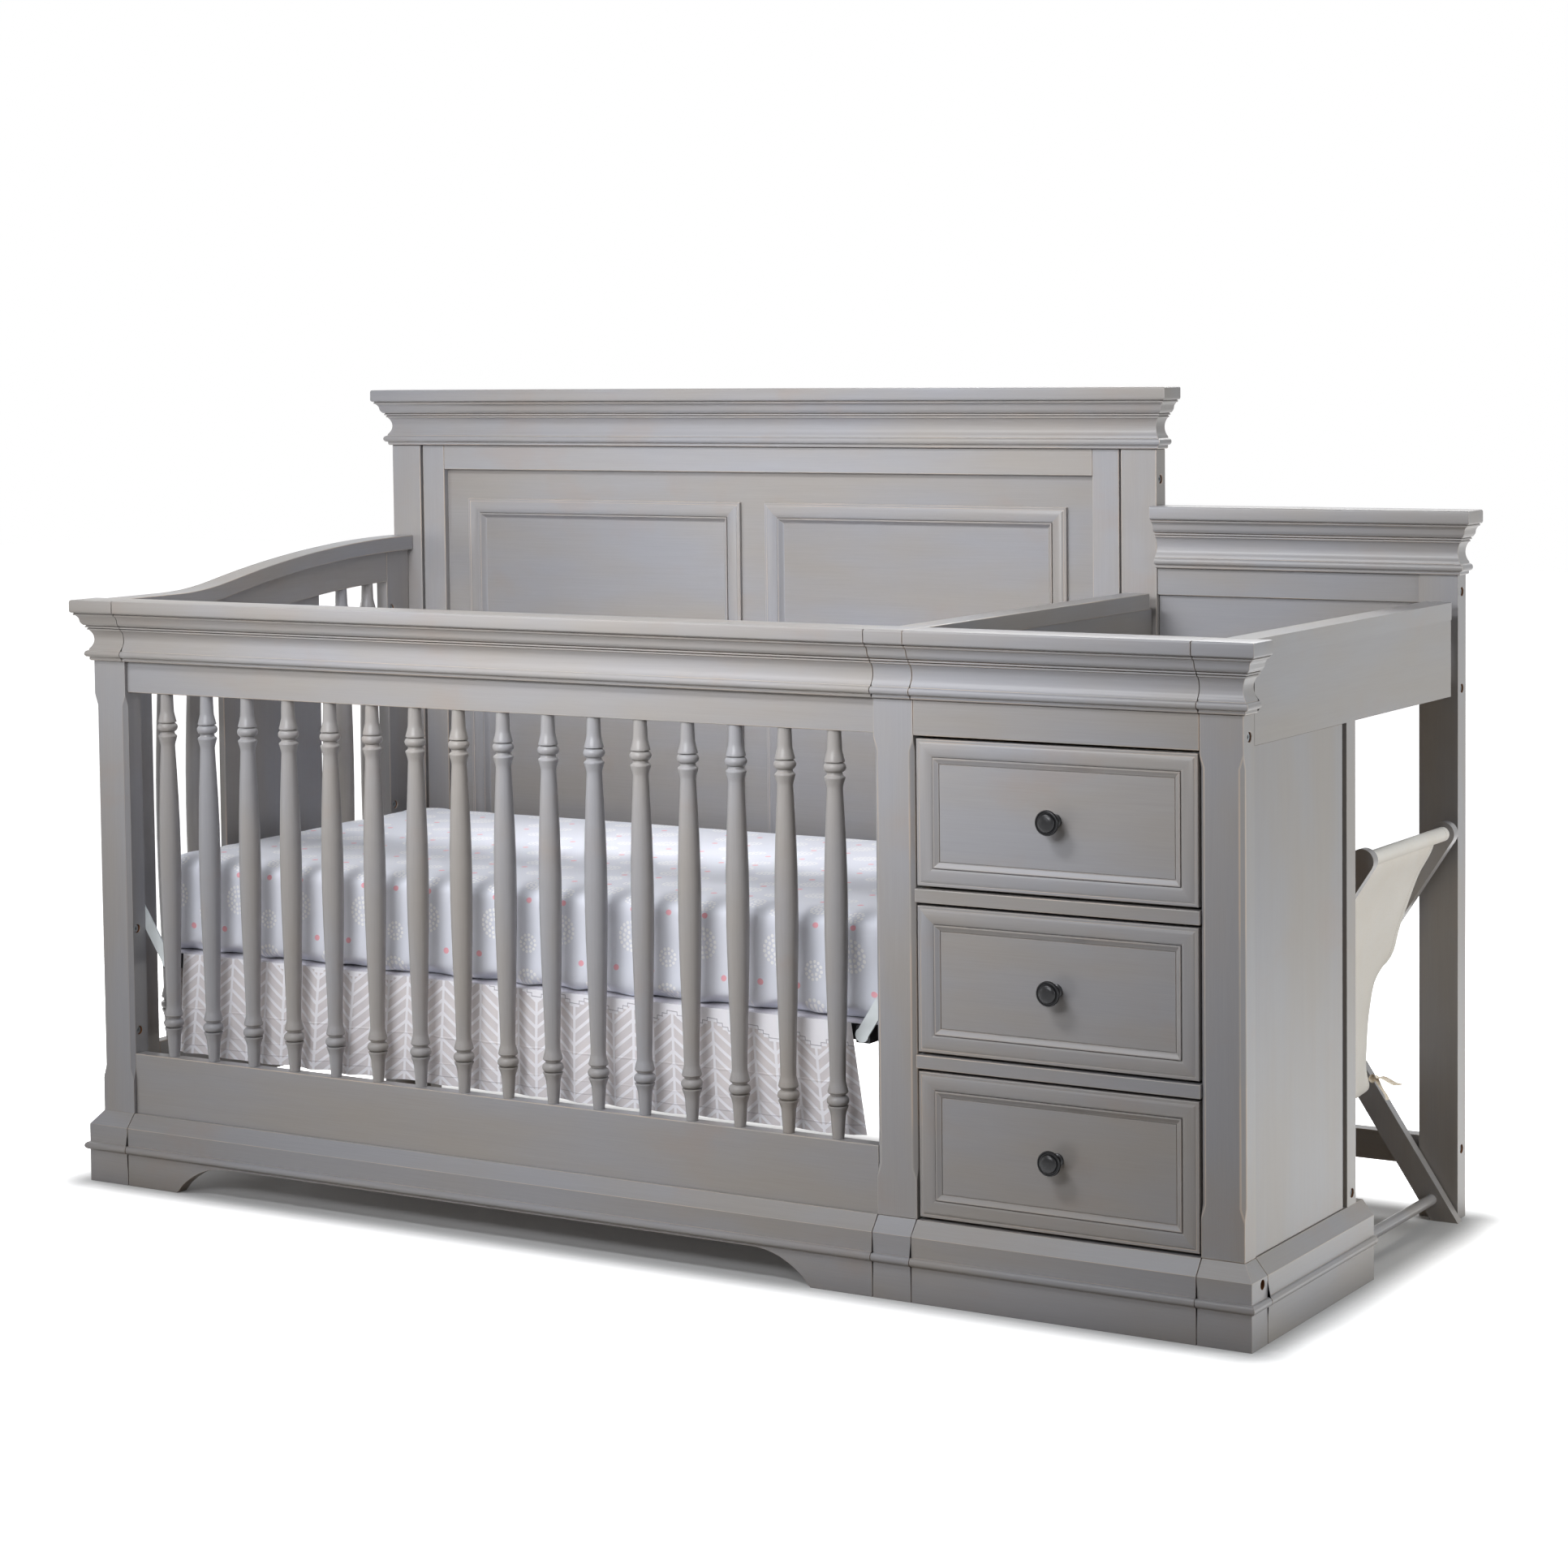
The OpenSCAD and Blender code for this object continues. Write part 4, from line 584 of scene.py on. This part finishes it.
def make_mattress():
    # How far in from the bed's edge and how far up from its underside each ring of the cover lies.
    rings = [(24, 0), (9, 2.5), (3, 9), (1, 22), (3, 50), (4, 75), (3, 105), (2, 125), (4, 132.5),
             (9, 136.5), (17, 138), (60, 140), (120, 141.8), (200, 143)]
    count = 260
    points = []
    for inset, up in rings:
        radius = max(62 - inset, 20)
        for p in rounded_plan(BED_HALF[0] - inset - 3, BED_HALF[1] - inset - 3, radius, count):
            points.append(at(BED_MIDDLE[0] + p.x, BED_MIDDLE[1] + p.y, BED_LOW + up))
    faces = grid_faces(count, len(rings), closed=True)
    faces.append(tuple(reversed(range(count))))
    faces.append(tuple(range(count * (len(rings) - 1), count * len(rings))))
    pad = new_piece("fitted_sheet_mattress", points, faces, sheet_print())
    remesh(pad, 0.008)
    swell(pad, slack=0.012, reach=0.006)
    normals = [v.normal.copy() for v in pad.data.vertices]
    low, hem_up, hem_lift = at(0, 0, BED_LOW).z, 0.024, 0.0085
    limit_low, limit_high = at(44, 40, 0), at(1370, 735, 0)
    middle, half_x, half_y = at(*BED_MIDDLE, 0), BED_HALF[0] / 1000, BED_HALF[1] / 1000
    for v, n in zip(pad.data.vertices, normals):
        v.co += n * sheet_pull(v.co)
        beside = min(half_x - abs(v.co.x - middle.x), half_y - abs(v.co.y - middle.y))
        under = smooth((hem_up - (v.co.z - low)) / hem_up) * smooth((0.05 - beside) / 0.03)
        wave = math.sin(math.pi * (v.co.x + v.co.y) / 0.105 + 1.3 * noise.noise(v.co * 4))
        v.co.z += under * hem_lift * abs(wave)
        v.co.z = min(max(v.co.z, low), at(0, 0, BED_HIGH + BED_CROWN + 1).z)
        v.co.x = min(max(v.co.x, limit_low.x), limit_high.x)
        v.co.y = min(max(v.co.y, limit_low.y), limit_high.y)
    refine(pad)
    crest = at(0, 0, BED_HIGH).z

    def spot(_, co):
        """The top lies as it is, and the sides are laid out beyond its edges."""
        dx, dy = co.x - middle.x, co.y - middle.y
        down = max(crest - co.z, 0.0)
        over_x, over_y = half_x - abs(dx), half_y - abs(dy)
        if down < 0.004:
            return dx, dy
        if over_y < over_x:
            return dx, dy + math.copysign(down, dy)
        return dx + math.copysign(down, dx), dy
    lay_out(pad, spot)
    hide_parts("mattress")
    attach(pad, "mattress")


# ---- Gathered skirt ----------------------------------------------------------------------

SKIRT_HIGH, SKIRT_LOW = 349.6, 197.0


def skirt_print():
    """Taupe and lilac-white herringbone below a plain band with a stepped edge."""
    f = Finish("herringbone_skirt", Roughness=0.78, Sheen_Weight=0.4, Sheen_Roughness=0.5)
    along, down, _ = f.cloth_place().parts()
    column, pitch = 0.0335, 0.0186
    share = (along / (2 * column)) % 1.0
    from_spine = abs(share - 0.5) * (2 * column)
    bar = ((down - from_spine * 0.78) / pitch) % 1.0
    stripe = abs(bar - 0.5).ramp(0.135, 0.165)
    edge = from_spine.math("MINIMUM", column - from_spine)
    lines = (1 - stripe).math("MAXIMUM", edge.ramp(0.0024, 0.0017))
    grey = f.mottle(f.place().stretched(30, 30, 30))
    woven = f.mix(grey.ramp(0.3, 0.7), colour(230, 224, 225), colour(222, 217, 220))
    white = colour(251, 250, 255)
    cloth = f.mix(lines, woven, white)
    fine = 0.0006

    def band(shift):
        """Depth of the plain band, whose lower edge goes down in steps."""
        steps = (abs((((along + shift) / (2 * column)) % 1.0) - 0.5) * 8).math("FLOOR") * 0.0046
        return along.ramp(0.45, 1.25) * 0.034 + steps - 0.006
    cloth = f.mix(down < band(0), cloth, white)
    before, after = band(-fine), band(fine)
    line = down + 0.0045
    stepped = (line < before.math("MAXIMUM", after) + fine) * (line > before.math("MINIMUM", after) - fine)
    cloth = f.mix(stepped * (along > 0.52) * 0.55, cloth, colour(116, 108, 122))
    hem = abs(down - 0.139).ramp(0.0012, 0.0005)
    warp = (along * 2800).math("SINE") * (down * 2800).math("SINE")
    crease = f.mottle(f.cloth_place().stretched(16, 7, 1), 1.0, 5.0, 0.6, 1.2)
    upper_fold = abs(down - 0.083 - (crease - 0.5) * 0.004).ramp(0.0022, 0.0)
    pressed = upper_fold + abs(down - 0.121).ramp(0.0016, 0.0) * 0.6
    return f.feed(Base_Color=f.mix(hem * 0.25, cloth, colour(150, 143, 152)),
                  Normal=f.bump(warp * 0.1 + crease * 1.6 - hem * 0.8 - pressed * 0.9, 0.0009, 0.6))


def skirt_fold(run, drop, folds, seed):
    """Swing of the gathers at a share of the run and of the drop, from -1 to 1."""
    wander = noise.noise(Vector((run * folds * 0.45, seed, 0.3))) * 0.33
    turn = 2 * math.pi * (folds * run + wander)
    swing = 0.66 * math.sin(turn) + 0.2 * math.sin(2.1 * turn + 1.3) * (1 - 0.6 * drop)
    return swing + 0.16 * noise.noise(Vector((run * folds * 2.2, seed + 7, drop * 1.5)))


def hang_skirt(name, start, end, out, folds, seed, flare, finish):
    """A gathered drop between two places in plan, in millimetres; out is the way its face looks."""
    columns, rows = int(folds * 26), 22
    start, end, out = Vector(start), Vector(end), Vector(out)
    along = (end - start).normalized()
    points, spots, lengths = [], [], []
    for j in range(rows):
        drop = j / (rows - 1)
        last, walked = None, 0.0
        for i in range(columns):
            run = i / (columns - 1)
            ends = smooth(min(run, 1 - run) / 0.012)
            fold = skirt_fold(run, drop, folds, seed)
            deep = 0.45 + 1.1 * smooth(0.5 + noise.noise(Vector((run * folds * 0.38, seed + 3, 0.7))) * 1.4)
            depth = (0.9 + 5.6 * deep * drop ** 0.8) * (0.35 + 0.65 * ends)
            plan = start.lerp(end, run) + along * ((run - 0.5) * 2 * flare * drop)
            plan += along * math.sin(4 * math.pi * folds * run) * 1.5 * drop + out * fold * depth
            curl = smooth((max(run, 1 - run) - 0.985) / 0.015)
            plan -= out * curl * 9 * drop
            z = SKIRT_HIGH - (SKIRT_HIGH - SKIRT_LOW) * drop + 2.2 * drop * noise.noise(
                Vector((run * folds * 0.8, seed, 4.0)))
            here = at(plan.x, plan.y, z)
            walked += (here - last).length if last else 0.0
            last = here
            points.append(here)
            spots.append(walked)
        lengths.append(walked)
    cut = sum(lengths) / rows
    skirt = new_piece(name, points, grid_faces(columns, rows), finish)
    height = (SKIRT_HIGH - SKIRT_LOW) / 1000

    def spot(i, _):
        row = i // columns
        return spots[i] / lengths[row] * cut, row / (rows - 1) * height
    lay_out(skirt, spot)
    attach(skirt, "crib")
    # The width is worked out from the finished cloth, so it can't disagree with it.
    return skirt


def make_skirt():
    cloth = skirt_print()
    front = hang_skirt("skirt_front", (124, 45.5), (1290, 45.5), (0, -1), 15, 1.0, 18, cloth)
    hang_skirt("skirt_left", (85.5, 707), (85.5, 68), (-1, 0), 8, 2.0, 0, cloth)
    hang_skirt("skirt_right", (1328.5, 68), (1328.5, 707), (1, 0), 8, 3.0, 0, cloth)
    plain = Finish("skirt_deck_cloth", Roughness=0.85, Sheen_Weight=0.15)
    weave = plain.mottle(plain.place().stretched(400, 400, 400))
    plain.feed(Base_Color=plain.mix(weave.ramp(0.3, 0.7), colour(226, 224, 230), colour(214, 212, 220)),
               Normal=plain.bump(weave, 0.0003, 0.4))
    columns, rows = 96, 48
    points = []
    for j in range(rows):
        for i in range(columns):
            x, y = 86 + 1242 * i / (columns - 1), 46.5 + 674.5 * j / (rows - 1)
            points.append(at(x, y, 349.2 + 0.35 * noise.noise(Vector((x / 60, y / 60, 2)))))
    deck = new_piece("skirt_deck", points, grid_faces(columns, rows), plain.material)
    lay_out(deck, lambda i, co: (co.x, co.y))
    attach(deck, "crib")
    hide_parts("crib_skirt")


# ---- Hamper bag ------------------------------------------------------------------------------

HAMPER_X, TOP_Z, BAG_LOW = 1685.5, 558.0, 182.0
BAG_Y = (421.6, 704.4)
BAG_Y_HEMS = (433.0, 693.0)
SLEEVE_SEAM = 0.0665
HEM_Z = 362.0
PANEL_TOP = 372
DOWEL_X, SLEEVE_RADIUS, BAG_BEND, BOTTOM_SAG = 186.5, 10.4, 16, 4.5


def bag_half_width(z):
    t = min(max((z - BAG_LOW) / (TOP_Z - BAG_LOW), 0.0), 1.0)
    return 88 + 91.5 * t ** 2.2


def canvas(strip):
    """Undyed cotton duck with its warp and weft, slubs and creases, and stitched hems.
    strip is the length of the strip of canvas from one sleeve to the other, in metres."""
    f = Finish("cotton_canvas", Roughness=0.88, Sheen_Weight=0.5, Sheen_Roughness=0.6)
    spread = f.cloth_place()
    along, down, _ = spread.parts()
    warp, weft = (along * 4200).math("SINE"), (down * 4200).math("SINE")
    slub = f.mottle(spread.stretched(90, 900, 1), 1.0, 3.0)
    crease = f.mottle(f.place().stretched(13, 13, 7), 1.0, 5.0, 0.62, 1.0)
    cloth = f.mix(crease.ramp(0.25, 0.75), colour(255, 252, 246), colour(250, 245, 236))
    cloth = f.mix(slub.ramp(0.55, 0.75) * 0.2, cloth, colour(214, 200, 176))
    seams = [abs(down - run) for run in (SLEEVE_SEAM, strip - SLEEVE_SEAM)]
    seams += [abs(along - y / 1000) for y in BAG_Y_HEMS]
    stitches = [off.ramp(0.0009, 0.0005) * ((other / 0.0034) % 1.0 < 0.62)
                for off, other in zip(seams, (along, along, down, down))]
    thread = stitches[0] + stitches[1] + stitches[2] + stitches[3]
    return f.feed(Base_Color=f.mix(thread.math("MINIMUM", 1.0) * 0.5, cloth, colour(176, 160, 134)),
                  Normal=f.bump(warp * weft * 0.25 + slub * 0.7 + crease * 3.0 - thread, 0.0007, 0.6))


def bag_profile():
    """The strip of canvas from one dowel's sleeve to the other, as offsets from the bag's middle."""
    def round_bend(x, z, radius, degrees):
        turns = [math.radians(a) for a in degrees]
        return [Vector((x + radius * math.cos(a), z + radius * math.sin(a))) for a in turns]

    loop = round_bend(DOWEL_X, TOP_Z, SLEEVE_RADIUS, range(-150, 181, 15))
    wall, steps, bend_z = [], 20, BAG_LOW + BAG_BEND
    for k in range(1, steps + 1):
        z = TOP_Z - (TOP_Z - bend_z) * k / steps
        join = smooth(k / 3)
        wall.append(Vector(((DOWEL_X - SLEEVE_RADIUS) * (1 - join) + bag_half_width(z) * join, z)))
    turn = round_bend(bag_half_width(bend_z) - BAG_BEND, bend_z, BAG_BEND, (-18, -36, -54, -72, -90))
    bottom = [Vector((x, BAG_LOW - BOTTOM_SAG * (1 - (x / 72) ** 2))) for x in (58, 43, 29, 14)]
    right = loop + wall + turn + bottom
    return right + [Vector((0, BAG_LOW - BOTTOM_SAG))] + [Vector((-p.x, p.y)) for p in reversed(right)]


def bag_walls(profile, lengths, across):
    """The strip's points, one row of the profile after another, and where they lay in the flat cut."""
    points, spots = [], []
    for j in range(across + 1):
        t = j / across
        y = BAG_Y[0] + (BAG_Y[1] - BAG_Y[0]) * t
        for p, run in zip(profile, lengths):
            below = smooth((TOP_Z - 22 - p.y) / 60)
            sag = below * math.sin(math.pi * t) ** 0.8
            ripple = noise.noise(Vector((p.y / 70, y / 55, 1 if p.x > 0 else 4)))
            side = 1 if p.x > 0 else -1
            inward = side * (4.5 * sag * smooth((p.y - 250) / 150) + 3.0 * ripple * below)
            drop = 5 * sag * smooth((210 - p.y) / 25)
            drawn_in = 12 * smooth((HEM_Z + 12 - p.y) / 26) - 3 * smooth(1 - abs(p.y - HEM_Z - 22) / 30)
            edge = smooth((abs(2 * t - 1) - 0.7) / 0.3)
            inward += side * edge * (11 * smooth((HEM_Z + 10 - p.y) / 22) * smooth((p.y - BAG_LOW) / 40)
                                     - 4 * smooth(1 - abs(p.y - HEM_Z - 26) / 32))
            side_y = y + (1 - 2 * t) * (drawn_in if p.y < TOP_Z - 30 else 0)
            if j in (0, across):
                side_y += 1.2 * below * noise.noise(Vector((p.y / 16, t * 9, 8)))
            side_y = min(max(side_y, BAG_Y[0]), BAG_Y[1])
            points.append(at(HAMPER_X + p.x - inward, side_y, p.y - drop))
            spots.append((y / 1000, run / 1000))
    return points, spots


def add_end_panel(profile, inside, front, base, points, spots, faces):
    """Closes one end of the bag below the height of its walls, with a slack top hem.
    base is the place of the end row's first point."""
    columns = len(profile)
    rows = []
    for right in [i for i in inside if profile[i].x > 0.5]:
        left = columns - 1 - right
        a, b = points[base + right], points[base + left]
        row = [base + right]
        for k in range(1, 12):
            s = k / 12
            p = a.lerp(b, s)
            high = smooth((p.z * 1000 - 190) / 150)
            bow = math.sin(math.pi * s)
            slack = (0.009 if front else -0.009) * bow * (0.3 + 0.7 * high)
            p = p + Vector((0, slack, -0.016 * bow * high))
            row.append(len(points))
            points.append(p)
            spots.append(((a.y * 1000 + 5 * k) / 1000 + s * 0.2, a.z))
        rows.append(row + [base + left])
    for upper, lower in zip(rows, rows[1:]):
        for k in range(len(upper) - 1):
            face = (upper[k], upper[k + 1], lower[k + 1], lower[k])
            faces.append(face if front else tuple(reversed(face)))
    last, middle = rows[-1], base + columns // 2
    for a, b in zip(last, last[1:]):
        faces.append((a, b, middle) if front else (b, a, middle))


def make_bag():
    profile = bag_profile()
    lengths = [0.0]
    for a, b in zip(profile, profile[1:]):
        lengths.append(lengths[-1] + (b - a).length)
    across, columns = 24, len(profile)
    points, spots = bag_walls(profile, lengths, across)
    faces = grid_faces(columns, across + 1)
    inside = [i for i, p in enumerate(profile) if p.y < PANEL_TOP and p.x > -1e-6]
    for j in (0, across):
        add_end_panel(profile, inside, j == 0, j * columns, points, spots, faces)
    strip = lengths[-1] / 1000
    bag = new_piece("hamper_canvas", points, faces, canvas(strip))
    lay_out(bag, lambda i, _: spots[i])
    refine(bag)
    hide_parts("hamper_bag")
    at(1499, 563, TOP_Z)
    at(1872, 563, TOP_Z)
    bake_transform(bag)


def make_tie():
    """A narrow tape of the same canvas, knotted round the bag's lower rear corner, with two short tails."""
    f = Finish("frayed_tape", Roughness=0.9, Sheen_Weight=0.2)
    weave = f.mottle(f.place().stretched(260, 260, 700), 1.0, 3.0)
    f.feed(Base_Color=f.mix(weave.ramp(0.3, 0.7), colour(246, 238, 224), colour(226, 210, 186)),
           Normal=f.bump(weave, 0.0005, 0.6))
    knot = Vector((1774, 693, 203))
    long_tail = [(42, -4, -4), (33, -2, -6), (23, -1, -1), (11, 0, 4)]
    short_tail = [(8, -3, -7), (15, -5, -15), (21, -6, -21), (23, -7, -28)]
    path = list(long_tail)
    for lean in (0.4, 2.1, 3.4):
        for a in [k * math.pi / 4 for k in range(8)]:
            path.append((5.5 * math.cos(a), 3.5 * math.sin(a) * math.sin(lean),
                         5.5 * math.sin(a) * math.cos(lean * 0.4)))
    path = [knot + Vector(p) for p in path + short_tail]
    columns, width = 5, 0.0105
    points, walked, last = [], [], None
    for i, p in enumerate(path):
        ahead = (path[min(i + 1, len(path) - 1)] - path[max(i - 1, 0)]).normalized()
        lean = Vector((0.15, 1, 0.35 * math.sin(i * 0.8)))
        across = (lean - ahead * lean.dot(ahead)).normalized()
        end = 1.25 if i in (0, len(path) - 1) else 1.0
        for k in range(columns):
            share = k / (columns - 1) - 0.5
            cup = ahead.cross(across) * (1.3 * (1 - 4 * share * share))
            q = p + across * (share * width * 1000 * end) + cup
            points.append(at(q.x, q.y, q.z))
        walked.append((walked[-1] if walked else 0) + ((p - last).length / 1000 if last else 0))
        last = p
    tie = new_piece("hamper_tie", points, grid_faces(columns, len(path)), f.material)
    lay_out(tie, lambda i, _: ((i % columns) / (columns - 1) * width, walked[i // columns]))
    refine(tie)
    at(1499, 563, TOP_Z)
    at(1872, 563, TOP_Z)
    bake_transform(tie)


make_mattress()
make_skirt()
make_bag()
make_tie()


# ---- Floor, background and light ------------------------------------------------------

def seen_directly(finish):
    """1 for what the camera sees, also in a mirror or through glass, and 0 for what lights the crib."""
    rays = [finish.node("LightPath", {}, {}, out="Is %s Ray" % kind)
            for kind in ("Camera", "Glossy", "Transmission")]
    return (rays[0] + rays[1] + rays[2]).math("MINIMUM", 1.0)


def set_floor():
    """A pale floor: near the crib's outline it shows the crib's shadow, deepened by a painted shadow, as
    its colour there is darker and it does not glow; further out it is white.
    """
    half_long, half_deep, shade_reach = 0.95, 0.38, 0.14
    mesh = bpy.data.meshes.new("studio_floor")
    mesh.from_pydata([(-14, -14, 0), (14, -14, 0), (14, 14, 0), (-14, 14, 0)], [], [(0, 1, 2, 3)])
    floor = bpy.data.objects.new("studio_floor", mesh)
    scene.collection.objects.link(floor)
    f = Finish("studio_floor", Roughness=0.9, Specular_IOR_Level=0.0, Base_Color=(0.35, 0.28, 0.21, 1))
    x, y, _ = f.place().parts()
    beside = (abs(x) - half_long).math("MAXIMUM", 0.0)
    before = (abs(y) - half_deep).math("MAXIMUM", 0.0)
    away = distance(beside, before).ramp(-0.01, shade_reach)
    # Near the outline the floor's colour falls to 0.29 grey: a painted shadow.
    lit = f.node("BsdfDiffuse", {}, {"Color": f.mix(away, (0.29, 0.29, 0.29, 1), WHITE)})
    glow = f.node("Emission", {}, {"Color": f.mix(away, (0.01, 0.01, 0.01, 1), WHITE)})
    shown = f.node("AddShader", {}, {0: f.node("AddShader", {}, {0: lit, 1: lit}), 1: glow})
    f.surface(f.node("MixShader", {}, {0: seen_directly(f), 1: Tone(f, f.shader.outputs[0]), 2: shown}))
    mesh.materials.append(f.material)


def set_background():
    world = bpy.data.worlds.new("studio")
    scene.world = world
    world.use_nodes = True
    world.node_tree.nodes.clear()
    f = Finish(None, tree=world.node_tree)
    light = f.node("Background", {}, {"Color": (0.97, 0.985, 1.0, 1), "Strength": 0.14})
    white = f.node("Background", {}, {"Color": WHITE, "Strength": 1.0})
    shown = f.node("MixShader", {}, {0: seen_directly(f), 1: light, 2: white})
    f.node("OutputWorld", {}, {"Surface": shown})


def softbox(name, place, aim, size, spread, power, tint=(1, 1, 1)):
    data = bpy.data.lights.new(name, "AREA")
    data.shape = "RECTANGLE"
    data.size, data.size_y = size
    data.spread = math.radians(spread)
    data.energy = power
    data.color = tint
    lamp = bpy.data.objects.new(name, data)
    scene.collection.objects.link(lamp)
    lamp.location = place
    lamp.rotation_euler = (Vector(aim) - Vector(place)).to_track_quat("-Z", "Y").to_euler()


set_floor()
set_background()
softbox("key_softbox", (-0.5, -1.9, 2.7), (-0.1, 0.0, 0.95), (1.6, 0.4), 58, 7.6, (0.965, 0.975, 1))
softbox("front_softbox", (0.1, -2.6, 1.75), (-0.1, 0.0, 0.97), (1.8, 0.8), 60, 9.1, (0.955, 0.97, 1))
softbox("bed_softbox", (-0.25, 0.05, 2.6), (-0.25, 0.05, 0.5), (0.8, 0.1), 18, 0.36, (0.97, 0.98, 1))
softbox("low_softbox", (-2.4, -2.4, 0.9), (-0.3, 0.0, 0.4), (1.2, 1.0), 100, 2.6)
softbox("right_softbox", (3.0, 0.1, 0.95), (0.9, 0.1, 0.5), (1.2, 1.2), 180, 27.5, (0.96, 0.99, 1))
softbox("left_softbox", (-3.0, 0.3, 1.4), (-0.9, 0.1, 0.5), (1.4, 1.2), 140, 15)
softbox("back_softbox", (-0.2, 2.7, 2.7), (0.0, 0.4, 0.5), (2.4, 0.8), 110, 22)
scene.view_settings.view_transform = "Standard"
